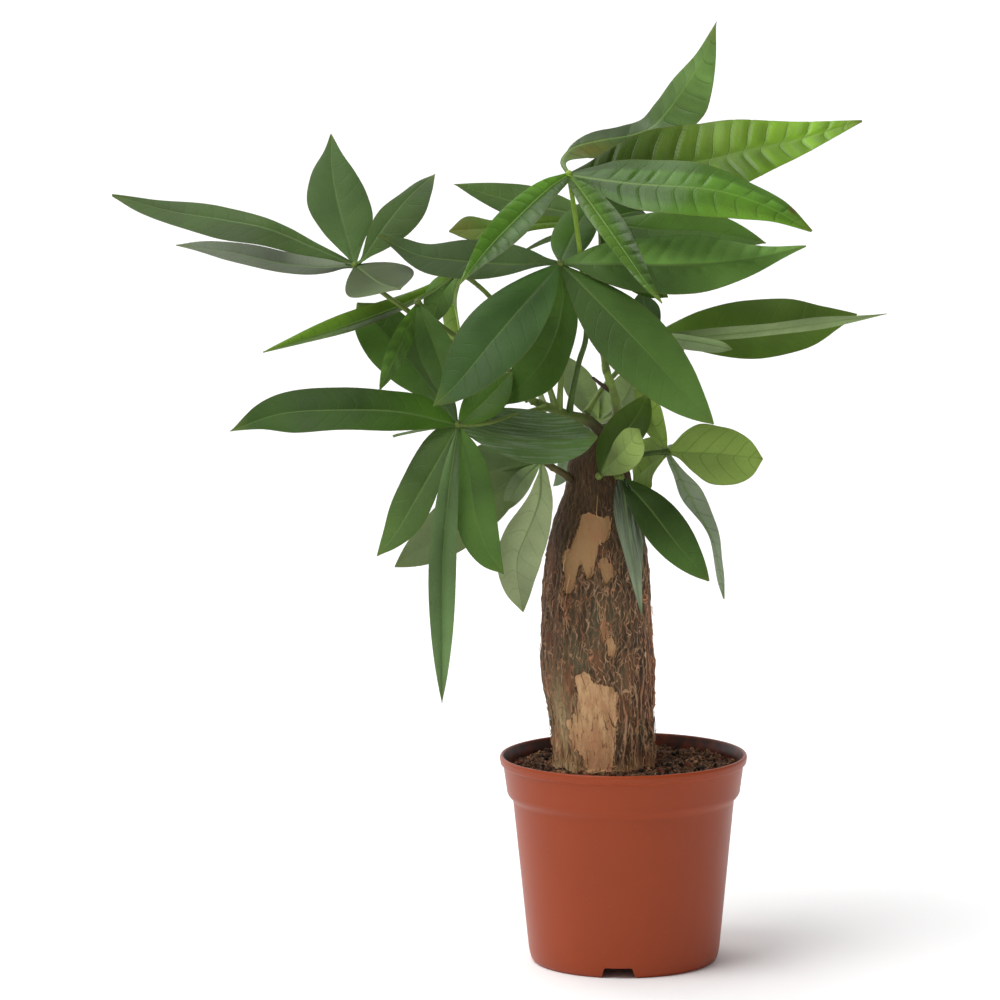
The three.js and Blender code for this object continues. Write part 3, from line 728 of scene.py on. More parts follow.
# Trunk: fibrous bark with a net of thin ridges, peeled to bare wood in places. The outline is
# [height, left, right] in mm, peeled places in front are outlines in the photograph's frame, those
# behind are [turn in degrees, height, half width, half height], ridges [turn, height, half height],
# and the other places [turn, height, half turn, half height]
trunk = {
    "outline": [
        (80, -33.6, 16.6), (93, -34.1, 16.1), (107, -34.4, 15.3), (125, -36.2, 14.7),
        (138, -38.2, 14.9), (152, -39.6, 14.5), (172, -38.7, 13.8), (191, -37.3, 12.7),
        (206, -35.2, 11.3), (219, -31.8, 9), (229, -28, 6), (237, -26.8, 4),
        (244, -25.4, 1.6), (250, -19.5, -0.5), (255, -13.5, -2.5),
    ],
    "depth": 53,
    "rows": 330,
    "sides": 236,
    "plate": 5.5,
    "stretch": 0.3,
    "crown": (196, 214),
    "flush": (256, 250),
    "relief": {
        "ridge": 0.55, "long": 0.5, "fibre": 0.42, "swell": 0.7, "crack": 0.9, "lip": 0.25,
        "wood": 0.5, "woodFibre": 0.06, "woodSwell": 0.35,
    },
    "peeled": [
        [
            (582, 515), (590, 513), (598, 517), (610, 516), (612, 525), (608, 540), (600, 545),
            (594, 565), (593, 577), (587, 578), (580, 562), (573, 590), (568, 595), (563, 590),
            (565, 578), (562, 566), (563, 552), (570, 548), (576, 535),
        ],
        [(598, 559), (606, 557), (610, 564), (618, 574), (604, 585), (600, 573)],
        [(562, 602), (568, 603), (568, 612), (562, 611)],
        [(599, 625), (603, 618), (608, 622), (609, 640), (606, 650), (602, 642)],
        [(606, 640), (612, 635), (617, 647), (614, 659), (607, 657)],
        [
            (575, 676), (583, 672), (591, 674), (592, 685), (600, 684), (611, 687), (618, 692),
            (617, 706), (618, 716), (614, 726), (616, 742), (613, 756), (613, 771), (586, 771),
            (582, 760), (575, 748), (570, 738), (567, 722), (573, 712), (577, 699),
        ],
    ],
    "peeledBehind": [(78, 184, 9, 24), (128, 116, 9, 20), (54, 126, 7, 26)],
    "red": [
        (-165, 170, 22, 60), (-8, 150, 18, 60), (-34, 112, 22, 26), (-172, 115, 14, 30),
        (95, 160, 30, 50), (-122, 138, 10, 7), (-82, 172, 9, 6), (-92, 146, 6, 12), (-60, 140, 8, 14),
    ],
    "olive": [
        (-112, 152, 12, 12), (-84, 166, 14, 14), (-62, 140, 7, 9), (-46, 118, 6, 10),
        (170, 120, 30, 30),
    ],
    "cracks": [
        (-146, 178, 3, 24), (-38, 160, 3.5, 16), (-35, 120, 3, 14), (20, 150, 4, 30), (150, 160, 4, 30),
    ],
    "lichen": [(-141, 120, 16, 19), (-120, 127, 6, 6), (-150, 94, 22, 9), (140, 100, 20, 12)],
    # dim and bright are painted shade and painted light on the bark
    "dim": [(-165, 172, 26, 44), (-146, 205, 20, 20), (60, 180, 30, 50)],
    "bright": [(-22, 150, 26, 44), (-44, 104, 44, 34), (-140, 96, 34, 22), (-95, 96, 40, 18)],
    "shredded": [(-140, 103, 24, 15), (-96, 90, 60, 5), (-30, 92, 40, 8)],
    "ridges": [
        (-66, 120, 30), (-57, 104, 22), (-48, 116, 34), (-38, 112, 40), (-27, 128, 52), (-17, 118, 44),
        (-6, 134, 50), (6, 120, 44), (-158, 132, 60), (-149, 116, 34), (30, 130, 50), (75, 120, 40),
        (110, 150, 50), (150, 120, 44),
    ],
    "ridgeTurn": 1.5,
    "hollow": [(-30, 118, 34, 34)],
}
barkColours = {
    "dark": colour(40, 27, 19),
    "cell": colour(74, 61, 44),
    "middle": colour(104, 79, 55),
    "strand": colour(196, 154, 118),
    "redStrand": colour(178, 122, 90),
    "red": colour(130, 80, 54),
    "olive": colour(92, 92, 68),
    "lichen": colour(176, 154, 112),
    "top": colour(66, 50, 34),
    "foot": colour(182, 140, 96),
    "wood": colour(184, 144, 102),
    "woodPale": colour(202, 164, 122),
    "woodDark": colour(154, 120, 82),
    "woodStain": colour(164, 108, 76),
}
barkThreads = [
    {"count": 32, "wavelength": 15.0, "reach": 4.2, "shift": 0.0, "share": 1.0},
    {"count": 30, "wavelength": 12.0, "reach": 4.0, "shift": 0.37, "share": 0.9},
    {"count": 50, "wavelength": 9.0, "reach": 3.0, "shift": 0.81, "share": 0.6},
]


def insideBy(across, down, outline):
    # how far inside an outline a place lies, below nought outside it
    x, y = across[:, None], down[:, None]
    start = np.array(outline, float)
    step = np.roll(start, -1, axis=0) - start
    share = ((x - start[:, 0]) * step[:, 0] + (y - start[:, 1]) * step[:, 1]) / (step ** 2).sum(axis=1)
    share = np.clip(share, 0, 1)
    nearest = start + share[..., None] * step
    away = np.hypot(x - nearest[..., 0], y - nearest[..., 1]).min(axis=1)
    ends = start + step
    crosses = (start[:, 1] > y) != (ends[:, 1] > y)
    meets = step[:, 0] * (y - start[:, 1]) / np.where(step[:, 1] == 0, 1e-9, step[:, 1]) + start[:, 0]
    inside = (crosses & (x < meets)).sum(axis=1) % 2 == 1
    return np.where(inside, away, -away)


def turnFrom(turn, middle):
    # degrees round the trunk from a middle, -180 to 180
    return (turn - middle + 180) % 360 - 180


def spots(turn, height, places):
    # soft patches, 1 in the middle of a place and fading outward
    value = np.zeros(turn.shape)
    for midTurn, midHeight, spanTurn, spanHeight in places:
        off = turnFrom(turn, midTurn) / spanTurn
        value = np.maximum(value, np.exp(-(off ** 2) - ((height - midHeight) / spanHeight) ** 2))
    return value


def trunkRings():
    outline = smoothRoute(trunk["outline"])
    heights = np.linspace(outline[0, 0], outline[-1, 0], trunk["rows"])
    left = np.interp(heights, outline[:, 0], outline[:, 1])
    right = np.interp(heights, outline[:, 0], outline[:, 2])
    turns = np.linspace(-math.pi, math.pi, trunk["sides"], endpoint=False)
    middle = ((left + right) / 2)[:, None]
    half = ((right - left) / 2)[:, None]
    depth = np.minimum(half, trunk["depth"] / 2)
    x = middle + half * np.cos(turns)
    y = depth * np.sin(turns)
    z = np.broadcast_to(heights[:, None], x.shape)
    smooth = np.stack([x, y, z], axis=-1).reshape(-1, 3) * mm
    outward = np.stack([np.cos(turns) * np.ones_like(half), np.sin(turns) * np.ones_like(half)], axis=-1)
    outward = np.concatenate([outward, np.zeros(outward.shape[:2] + (1,))], axis=-1).reshape(-1, 3)
    return smooth, outward, np.degrees(np.broadcast_to(turns, x.shape)).ravel(), z.ravel()


def plateEdges(smooth, warp):
    # nought on the lines between the bark's plates and more inside them
    made = []
    for (x, y, z), bend in zip(smooth, warp):
        shift = 0.0022 * bend
        spot = Vector((x + shift, y - shift, z * trunk["stretch"] + 0.0012 * bend))
        near = noise.voronoi(spot / (trunk["plate"] * mm))[0]
        made.append(near[1] - near[0])
    return np.array(made)


def peeledDepth(smooth, outward, turn, height, fibre):
    # how far inside a peeled place each point lies, below nought on the bark
    outside = -20.0
    across, down = seenAt(smooth)
    facing = outward[:, 1] < 0.05
    deepest = np.full(len(smooth), outside)
    for patch in trunk["peeled"]:
        deepest = np.maximum(deepest, np.where(facing, insideBy(across, down, patch), outside))
    ragged = roughness(smooth, 8, 0.4, 5, 6)
    for midTurn, midHeight, halfWide, halfHigh in trunk["peeledBehind"]:
        off = np.radians(turnFrom(turn, midTurn)) * trunk["depth"] / 2
        oval = 1 - np.hypot(off / halfWide, (height - midHeight) / halfHigh)
        deepest = np.maximum(deepest, (oval + 1.1 * ragged - 0.1) * min(halfWide, halfHigh) * 2)
    return deepest + 1.3 * fibre + 1.2 * roughness(smooth, 3, 0.5, 3, 4)


def longRidges(turn, height, warp):
    # upright ridges that wander a little
    value = np.zeros(turn.shape)
    for midTurn, midHeight, halfHigh in trunk["ridges"]:
        wander = midTurn + 6 * warp + 2.5 * np.sin(height / 7 + midTurn)
        reach = smoothStep(1, 0.6, abs(height - midHeight) / halfHigh)
        value = np.maximum(value, np.exp(-((turnFrom(turn, wander) / trunk["ridgeTurn"]) ** 2)) * reach)
    return value


def makeTrunk():
    smooth, outward, turn, height = trunkRings()
    warp = roughness(smooth, 9, 0.4, 3, 5)
    fibre = roughness(smooth, 1.6, 0.12, 4, 9)
    swell = roughness(smooth, 16, 0.5, 3, 2)
    upper = smoothStep(*trunk["crown"], height)
    ridge = (1 - smoothStep(0.03, 0.17, plateEdges(smooth, warp))) * (1 - 0.75 * upper)
    ridge = ridge * smoothStep(-0.35, 0.25, warp + swell)
    peeled = peeledDepth(smooth, outward, turn, height, fibre)
    bare = smoothStep(-0.6, 0.8, peeled)
    lip = np.exp(-((peeled + 1.2) / 1.3) ** 2)
    # cracks and hollows are sunk into the bark and painted dark as well: painted shade in the recesses
    crack = spots(turn + 5 * warp, height, trunk["cracks"]) * smoothStep(-0.6, 0.3, fibre)
    deep = smoothStep(0.2, 0.75, -swell + 0.6 * fibre) * (1 - bare) * 0.6
    crack = np.maximum(crack, deep * (1 - 0.7 * upper))
    hollow = spots(turn, height, trunk["hollow"]) * (1 - ridge) * smoothStep(-0.2, 0.4, -fibre)
    crack = np.maximum(crack, 0.75 * hollow)
    long = longRidges(turn, height, warp)
    high = trunk["relief"]
    bark = high["ridge"] * ridge + high["long"] * long + high["fibre"] * fibre
    bark = bark + high["swell"] * swell - high["crack"] * crack
    wood = high["woodFibre"] * fibre + high["woodSwell"] * swell - high["wood"]
    relief = bark * (1 - bare) + wood * bare + high["lip"] * lip
    relief = relief * smoothStep(*trunk["flush"], height)
    points = smooth + outward * (relief * mm)[:, None]
    shape = (trunk["rows"], trunk["sides"], 3)
    red, olive, lichen, dim, bright, shredded = (
        spots(turn, height, trunk[k]) for k in ("red", "olive", "lichen", "dim", "bright", "shredded")
    )
    foot = np.maximum(smoothStep(104, 93, height + 4 * warp), shredded)
    axis = np.repeat(smooth.reshape(shape)[..., 0].mean(axis=1), trunk["sides"])
    skin = newSkin()
    addRings(
        skin, points.reshape(shape), tone=(0, 0, 0),
        bark=np.stack([np.maximum(0.4 * ridge, long), crack, peeled], axis=-1).reshape(shape),
        zone=np.stack([red, olive, foot], axis=-1).reshape(shape),
        stains=np.stack([lichen, 0.8 * dim - bright, axis], axis=-1).reshape(shape),
    )
    makePiece("trunk_bark", skin, [barkMaterial()], "trunk")


def threadsAway(tree, turn, where, threads):
    # how far a place is from the nearest of the upright wandering threads round the trunk, in mm
    shift = threads["shift"]
    moved = addNode(tree, "Mapping", {0: where, 1: (shift, 0, shift)}).outputs[0]
    wander = cloud(tree, moved, 1 / (threads["wavelength"] * mm), 2.0, 0.4)
    bend = times(tree, less(tree, wander, 0.5), threads["reach"])
    fine = times(tree, less(tree, cloud(tree, moved, 300.0, 1.0), 0.5), 0.8)
    count = threads["count"]
    place = plus(tree, times(tree, turn, count / (2 * math.pi)), plus(tree, bend, fine))
    spacing = math.pi * trunk["depth"] / count
    return times(tree, maths(tree, "PINGPONG", place, 0.5), spacing)


def barkStrands(tree, where, ridge, turn, height):
    # where strands show, and how far inside the meshes between them a place is
    strands, inside = None, None
    for threads in barkThreads:
        away = threadsAway(tree, turn, where, threads)
        line = ramp(tree, away, 0.1, 0.4, threads["share"], 0.0)
        strands = maths(tree, "MAXIMUM", strands, line) if strands else line
        clear = ramp(tree, away, 0.3, 1.3)
        inside = times(tree, inside, clear) if inside else clear
    broken = ramp(tree, cloud(tree, where, 330.0, 2.0), 0.36, 0.56, 0.25, 1.0)
    strands = times(tree, strands, broken)
    strands = maths(tree, "MAXIMUM", strands, times(tree, ramp(tree, ridge, 0.35, 0.9), 0.7))
    return times(tree, strands, ramp(tree, height, 0.188, 0.206, 1.0, 0.25)), inside


def woodColour(tree, where, drawn, patchy, strands, height):
    # the bare wood of the peeled places
    tones = barkColours
    pale = ramp(tree, cloud(tree, drawn, 600.0, 4.0), 0.35, 0.65)
    wood = mixed(tree, pale, tones["wood"], tones["woodPale"])
    # the wood darker toward the top
    wood = mixed(tree, ramp(tree, height, 0.15, 0.185, 0.0, 0.9), wood, tones["woodDark"])
    wood = mixed(tree, ramp(tree, height, 0.122, 0.1, 0.0, 0.35), wood, tones["woodStain"])
    wood = mixed(tree, times(tree, ramp(tree, patchy, 0.46, 0.66), 0.5), wood, tones["woodStain"])
    soiled = ramp(tree, cloud(tree, where, 210.0, 4.0, 0.65), 0.5, 0.7, 0.0, 0.42)
    wood = mixed(tree, soiled, wood, tones["woodDark"])
    fleck = ramp(tree, cloud(tree, stretched(tree, where, 1, 1, 0.4), 700.0, 2.0), 0.6, 0.68)
    fleck = times(tree, fleck, ramp(tree, height, 0.145, 0.12, 0.15, 0.75))
    wood = mixed(tree, fleck, wood, tones["red"])
    bits = times(tree, strands, ramp(tree, height, 0.12, 0.1, 0.0, 0.4))
    return mixed(tree, bits, wood, tones["redStrand"])


def barkMaterial():
    material, tree = newMaterial("barkAndWood")
    tones = barkColours
    where = objectPlace(tree)
    ridge, crack, peeled = parted(tree, attribute(tree, "bark")["Vector"])
    red, olive, foot = parted(tree, attribute(tree, "zone")["Vector"])
    lichen, dim, axis = parted(tree, attribute(tree, "stains")["Vector"])
    drawn = stretched(tree, where, 1, 1, 0.16)
    fibre = cloud(tree, drawn, 900.0, 5.0, 0.65)
    patchy = cloud(tree, stretched(tree, where, 1, 1, 0.45), 150.0, 4.0, 0.6)
    x, y, height = parted(tree, where)
    turn = maths(tree, "ARCTAN2", y, less(tree, x, axis))
    strands, inside = barkStrands(tree, where, ridge, turn, height)
    base = mixed(tree, ramp(tree, fibre, 0.36, 0.64), tones["cell"], tones["middle"])
    for mask, shown, tone in (
        (inside, ramp(tree, patchy, 0.62, 0.4, 0.1, 0.75), "dark"),
        (red, ramp(tree, patchy, 0.36, 0.6, 0.0, 0.8), "red"),
        (olive, ramp(tree, patchy, 0.66, 0.42, 0.2, 0.8), "olive"),
        (0.7, ramp(tree, height, 0.19, 0.21), "top"),
        (foot, ramp(tree, fibre, 0.34, 0.58), "foot"),
        (lichen, ramp(tree, fibre, 0.3, 0.55, 0.3, 0.9), "lichen"),
        # painted shade in the cracks and hollows
        (crack, 0.8, "dark"),
    ):
        base = mixed(tree, times(tree, mask, shown), base, tones[tone])
    ruddy = ramp(tree, cloud(tree, where, 120.0, 2.0), 0.45, 0.6)
    tint = mixed(tree, ruddy, tones["strand"], tones["redStrand"])
    base = mixed(tree, times(tree, strands, 0.9), base, tint)
    wood = woodColour(tree, where, drawn, patchy, strands, height)
    # the peeled places' rims fray more toward the foot
    frayed = cloud(tree, stretched(tree, where, 1, 1, 0.4), 520.0, 3.0, 0.7)
    fray = times(tree, ramp(tree, frayed, 0.2, 0.8, -1.6, 1.6), ramp(tree, height, 0.115, 0.092, 1.0, 2.2))
    peeled = plus(tree, peeled, fray)
    bare = ramp(tree, peeled, -0.2, 0.4)
    # a thin painted shade along the edge of each peeled place
    rim = ramp(tree, maths(tree, "ABSOLUTE", plus(tree, peeled, 0.5)), 0.0, 0.8, 0.4, 0.0)
    full = mixed(tree, rim, mixed(tree, bare, base, wood), tones["dark"])
    # painted shade where dim and painted light where bright
    level = less(tree, 1.06, times(tree, dim, 0.5))
    full = addNode(tree, "VectorMath", {0: full, "Scale": level}, operation="SCALE").outputs[0]
    fine = useGroup(tree, grain, {"Size": 1.1, "Stretch": 0.2})["Height"]
    rough = plus(tree, times(tree, fine, 0.8), strands)
    rough = times(tree, rough, ramp(tree, bare, 0.0, 1.0, 1.0, 0.25))
    closeMaterial(tree, principled(tree, full, 0.82, bumped(tree, rough, 0.9, 0.9), 0.25))
    return material


makeTrunk()
print("trunk made")


# Leaves. A leaflet's rib runs from the hub through the places given to its tip, and its sides are the
# two half widths in mm at the stations where it has no plain width. Roll and fold are in degrees. An
# "under" leaflet turns its pale underside to the front. puckered is how far out, and ruffled how
# strongly, each half puckers between the veins, and cells how much painted highlight and shade the
# puckers get. left and right are painted light and shade: they make the tone of each half paler or
# darker near the base, in the middle and near the tip, and shadeBands paint highlights and shade
# across the blade. patches are (share, across, length, width, tone, amount)
leafTones = {
    "deep": colour(56, 86, 23),
    "mid": colour(74, 103, 45),
    "grass": colour(72, 99, 22),
    "leafy": colour(86, 114, 55),
    "bright": colour(79, 114, 39),
    "lime": colour(103, 136, 45),
    "lemon": colour(146, 177, 61),
    "soft": colour(132, 152, 82),
    "blue": colour(61, 91, 41),
    "grey": colour(73, 94, 55),
    "mist": colour(81, 88, 72),
    "steel": colour(124, 132, 94),
    "fern": colour(85, 112, 61),
    "moss": colour(92, 109, 50),
    "sage": colour(150, 172, 114),
    "olive": colour(122, 116, 40),
    "rust": colour(104, 72, 40),
    "stem": colour(102, 120, 54),
    "freshStem": colour(132, 162, 56),
    "darkStem": colour(66, 88, 30),
}
leafShape = {
    "facing": (0, -0.75, 0.65),
    "stations": (0.06, 0.15, 0.3, 0.5, 0.7, 0.87),
    "step": 1.2,
    "columns": 22,
    "thickness": 0.42,
    "rib": 0.75,
    "stalkRadius": 1.1,
    "stalkTone": "stem",
    "hubRadius": 1.748,
    "baseWidth": 1.9,
    "tipWidth": 0.5,
    "slope": 0.45,
    "rows": (26, 150),
    "fold": 8,
    "wave": 0.5,
    "droop": 0.06,
    "pointed": (0.52, 2.0),
    "blunt": (0.62, 1.5),
    "shadeStations": (0.12, 0.42, 0.8),
    "stalkSwell": (0.45, 0.7),
    "sheenSilver": colour(150, 168, 138),
}
leaves = {
    "leaf_top": {
        "hub": (569, 174, -14),
        "stalk": [(580, 253, -26), (586, 337, -12), (579, 362, -9), (571, 400, -7), (569, 416, -6)],
        "colour": "fresh", "pucker": 1.5, "spacing": 9.5, "step": 0.75, "slope": 0.25,
        "stalkTone": "freshStem", "stalkFoot": "darkStem",
        "leaflets": [
            {
                "rib": [
                    (562, 161, -6), (572, 148, 4), (600, 140, 14), (630, 135, 24), (652, 127, 27),
                    (668, 110, 27), (684, 88, 25), (702, 60, 20), (716, 22, 12),
                ],
                "sides": [(1, 1.5), (1, 9), (8.5, 11), (10.5, 13), (10.5, 17), (4.5, 6)], "roll": -12,
                "fold": -8, "tone": "leafy", "gloss": 0.2, "pucker": 0.7,
                "patches": [(0.22, 0.5, 0.1, 0.5, "olive", 0.8), (1, 0, 0.08, 1, "rust", 0.35)],
                "left": (0.85, 0.5, 1.7), "right": (1.2, 0.8, 1.9), "cells": 0.1,
            },
            {
                "rib": [
                    (610, 170, -12), (660, 166, -9), (708, 160, -6), (743, 151, -4), (801, 138, -1),
                    (862, 121, 2),
                ],
                "sides": [(5, 3.5), (12, 8), (21, 15), (21, 21), (13.5, 13.5), (6.5, 6.5)],
                "tone": "grass", "gloss": 0.5, "pucker": 1.6,
                "patches": [(1, 0, 0.02, 1, "rust", 0.9), (0.55, -0.6, 0.2, 0.5, "lemon", 0.3)],
                "left": (0.45, 1.3, 4), "right": (1, 1.4, 3.2), "cells": 0.3,
            },
            {
                "rib": [
                    (598, 179, -24), (640, 184, -31), (690, 187, -37), (720, 191, -39), (745, 198, -40),
                    (775, 210, -40), (812, 231, -38),
                ],
                "sides": [(8, 2), (15, 6.5), (19, 13), (18, 14), (12.5, 11.5), (8.5, 5)], "fold": -10,
                "tone": "deep", "gloss": 1, "puckered": (0.55, 1.2),
                "shadeBands": [
                    (-1, 0.95), (-0.62, 0.8), (-0.52, 1.35), (-0.1, 1.25), (0, 1.1), (0.08, 0.85),
                    (0.5, 0.85), (0.75, 1.35), (1, 1.3),
                ],
                "patches": [
                    (0.9, -0.8, 0.015, 0.35, "rust", 0.9), (1, 0, 0.02, 1, "rust", 0.8),
                    (0.75, 0.7, 0.2, 0.4, "lime", 0.5),
                ],
                "left": (0.9, 1.9, 2.8), "right": (1.3, 2.2, 4), "cells": 0.18, "ruffled": (1, 0.4),
            },
            {
                "rib": [
                    (589, 201, -34), (608, 228, -48), (627, 255, -59), (647, 284, -71), (662, 303, -77),
                ],
                "sides": [(1.5, 2.5), (4, 4), (7, 5.5), (8.5, 5.5), (6, 4.5), (3, 2.5)], "fold": 20,
                "roll": 12, "tone": "bright", "gloss": 1, "spacing": 7,
                "shadeBands": [(-1, 0.7), (-0.5, 0.85), (-0.2, 1.25), (0, 1), (0.1, 1.35), (1, 1.1)],
                "patches": [(0.3, 0.5, 0.5, 0.4, "lime", 0.45)], "left": (1.3, 0.95, 0.65),
                "right": (0.4, 1.1, 0.85), "cells": 0.2, "ruffled": (0.8, 0.3),
            },
            {
                "rib": [(549, 188, -24), (520, 215, -44), (491, 245, -58), (458, 286, -70)],
                "sides": [(4.5, 2.5), (7, 5), (9.5, 7.5), (12.5, 8.5), (10.5, 6.5), (4, 3)], "fold": 20,
                "roll": 8, "tone": "deep", "gloss": 1, "spacing": 7,
                "shadeBands": [(-1, 1), (-0.4, 1.25), (-0.1, 0.95), (0.1, 1), (1, 1.05)],
                "left": (0.95, 1.3, 1), "right": (3.6, 2.6, 2.4), "cells": 0.2, "ruffled": (0.6, 0.55),
            },
        ],
    },
    "leaf_middle": {
        "hub": (560, 263, -34),
        "stalk": [(558, 290, -26), (560, 330, -18), (561, 375, -11), (559, 411, -7)], "colour": "green",
        "pucker": 0.3, "spacing": 8.5,
        "leaflets": [
            {
                "rib": [(620, 264, -36), (680, 265, -34), (745, 260, -26), (806, 246, -14)],
                "sides": [(6, 2.5), (13, 8), (18.5, 14), (21, 15), (15.5, 9.5), (6, 4)], "fold": -8,
                "tone": "mid", "gloss": 0.5, "pucker": 1.3, "left": (2, 2.8, 4), "right": (1, 0.9, 2.6),
                "puckered": (1.2, 0.3), "cells": 0.16,
            },
            {
                "rib": [(600, 303, -46), (641, 345, -56), (682, 390, -60), (714, 424, -58)], "width": 35,
                "fold": -6, "tone": "mid", "gloss": 0.2, "left": (1.1, 1.2, 1.7),
                "right": (0.8, 0.8, 1.6),
            },
            {
                "rib": [(525, 303, -50), (490, 344, -62), (455, 386, -68), (433, 406, -68)], "width": 34,
                "fold": 6, "tone": "blue", "gloss": 0.3, "left": (1.8, 1, 0.9), "right": (2, 1.2, 0.95),
            },
            {
                "rib": [(563, 295, -38), (557, 330, -38), (540, 365, -36), (502, 405, -32)],
                "sides": [(1.5, 3), (3.5, 6.5), (8, 10), (10.5, 12.5), (13, 13), (7.5, 8.5)], "fold": 6,
                "tone": "bright", "left": (0.95, 0.75, 0.95), "right": (1.6, 0.75, 0.9),
            },
            {
                "rib": [(510, 264, -38), (462, 261, -42), (415, 254, -42), (378, 235, -40)],
                "sides": [(1.5, 3), (3, 8), (7.5, 12), (11.5, 11.5), (11, 7.5), (3.5, 5.5)], "fold": 12,
                "tone": "grey", "left": (1.1, 0.9, 0.85), "right": (1.7, 1.1, 1),
            },
            {
                "rib": [(567, 248, -14), (580, 222, 6), (595, 198, 26)], "width": 20, "fold": 10,
                "tone": "deep", "left": (2.4, 1.3, 1.5), "right": (1.7, 1, 0.95),
            },
        ],
    },
    "leaf_back_top": {
        "hub": (600, 222, 40), "stalk": [(601, 250, 36), (602, 300, 22), (602, 345, 6), (607, 373, -1)],
        "colour": "green", "pucker": 0.3, "spacing": 8.5,
        "leaflets": [
            {
                "rib": [(566, 212, 42), (520, 203, 44), (454, 184, 46)],
                "sides": [(5, 2), (9, 5), (12, 9), (10.5, 11), (7.5, 8), (4, 4)], "tone": "leafy",
                "left": (0.9, 0.65, 0.75), "right": (1.1, 1.1, 1),
            },
            {
                "rib": [(560, 222, 32), (505, 227, 24), (449, 231, 20)],
                "sides": [(1.5, 1), (3.5, 2), (3, 3.5), (4, 5), (8.5, 4.5), (7, 8)], "tone": "lime",
                "patches": [(0.95, 0, 0.12, 1, "olive", 0.6)], "left": (0.7, 0.7, 0.7),
                "right": (0.7, 0.8, 0.6),
            },
            {
                "rib": [(650, 229, 34), (710, 232, 30), (766, 243, 24)], "width": 24, "tone": "bright",
                "left": (0.65, 1.8, 1.3), "right": (0.4, 1, 1.3),
            },
            {"rib": [(630, 262, 30), (650, 286, 26), (668, 297, 24)], "width": 22, "tone": "deep"},
            {"rib": [(601, 214, 66), (592, 212, 92), (584, 222, 118)], "width": 20, "tone": "mid"},
            {
                "rib": [(620, 215, 62), (640, 212, 84), (655, 222, 104)], "width": 30, "tone": "deep",
                "left": (0.6, 0.85, 0.6), "right": (0.55, 0.6, 0.55), "dull": 0.9,
            },
            {
                "rib": [(575, 233, 18), (550, 240, 12), (524, 251, 6)], "width": 8, "roll": 60,
                "fold": 30, "tone": "fern",
            },
        ],
    },
    "leaf_left_high": {
        "hub": (355, 265, -20),
        "stalk": [(377, 288, -17), (408, 311, -12), (456, 346, -4), (500, 374, -4), (529, 400, -9)],
        "colour": "grey", "pucker": 0.2, "spacing": 8,
        "leaflets": [
            {
                "rib": [
                    (334, 256, -21), (310, 246, -20), (285, 235, -19), (262, 227, -18), (219, 219, -13),
                    (170, 211, -7), (112, 195, 0),
                ],
                "sides": [(3, 1.5), (6, 2.5), (10, 5), (12, 6.5), (9, 7), (5.5, 3.5)], "tone": "leafy",
                "left": (0.9, 0.6, 0.7), "right": (0.9, 0.95, 0.65),
            },
            {
                "rib": [(320, 267, -27), (280, 263, -31), (235, 253, -34), (176, 245, -34)],
                "sides": [(1, 1.5), (3, 4), (5.5, 6), (6, 7.5), (5, 5.5), (2, 3.5)], "tone": "mist",
                "left": (1.3, 1.7, 2.2), "right": (3.6, 1.2, 2.6),
            },
            {
                "rib": [
                    (352, 257, -19), (344, 227, -17), (337, 199, -13), (332, 169, -8), (331, 134, -2),
                ],
                "sides": [(2, 3.5), (5.5, 7.5), (11, 14.5), (14.5, 14.5), (10.5, 10.5), (3.5, 4.5)],
                "fold": 6, "tone": "fern", "left": (1.8, 0.9, 0.95), "right": (1.4, 1.1, 1),
            },
            {
                "rib": [
                    (363, 258, -22), (376, 239, -26), (392, 217, -26), (413, 193, -25), (435, 174, -22),
                ],
                "sides": [(1, 1.5), (3, 3), (5.5, 8), (7, 12.5), (4.5, 12.5), (3, 7)], "fold": 6,
                "tone": "leafy", "left": (1.1, 0.85, 0.6), "right": (1, 0.75, 0.6),
            },
            {
                "rib": [(380, 283, -44), (400, 289, -68)], "width": 33, "fold": 6, "tone": "sage",
                "left": (0.3, 0.2, 0.2), "right": (0.25, 0.25, 0.35),
            },
        ],
    },
    "leaf_left_mid": {
        "hub": (460, 272, -2),
        "stalk": [(475, 283, 0), (490, 297, 2), (525, 345, 4), (548, 385, 0), (556, 410, -7)],
        "colour": "fresh", "pucker": 0.3, "spacing": 7,
        "leaflets": [
            {
                "rib": [(420, 296, 1), (370, 317, -1), (310, 337, -1), (263, 352, 0)], "width": 12,
                "fold": 25, "tone": "grass", "left": (1.3, 0.35, 1.9), "right": (2.8, 1.3, 3.6),
            },
            {
                "rib": [(455, 300, 8), (460, 335, 12), (468, 385, 12)], "width": 14, "roll": 50,
                "fold": 50, "tone": "soft", "left": (2.6, 3.4, 2.6), "right": (2.6, 1.9, 2.6),
            },
            {
                "rib": [(443, 290, -1), (431, 325, -2)], "width": 15, "fold": 12, "tone": "leafy",
                "left": (1.7, 1.6, 0.95), "right": (1.5, 2, 1.5),
            },
            {"rib": [(452, 264, 18), (440, 258, 44)], "width": 18, "tone": "mid"},
            {"rib": [(474, 264, 22), (492, 262, 52)], "width": 22, "tone": "mid"},
        ],
    },
    "leaf_left_inner": {
        "hub": (418, 302, -24),
        "stalk": [(432, 318, -22), (456, 336, -20), (500, 362, -20), (534, 402, -10)], "colour": "green",
        "pucker": 0.25, "spacing": 7,
        "leaflets": [
            {
                "rib": [(405, 335, -30), (393, 362, -34), (379, 391, -34)], "width": 11, "fold": 15,
                "tone": "bright", "left": (1.4, 1.2, 0.75), "right": (2, 1.2, 1.2), "cells": 0.25,
            },
            {
                "rib": [(428, 330, -34), (441, 365, -44), (450, 404, -54)], "width": 17, "tone": "mid",
                "left": (1.8, 1.7, 0.7), "right": (1.9, 1.3, 1.1),
            },
        ],
    },
    "leaf_low": {
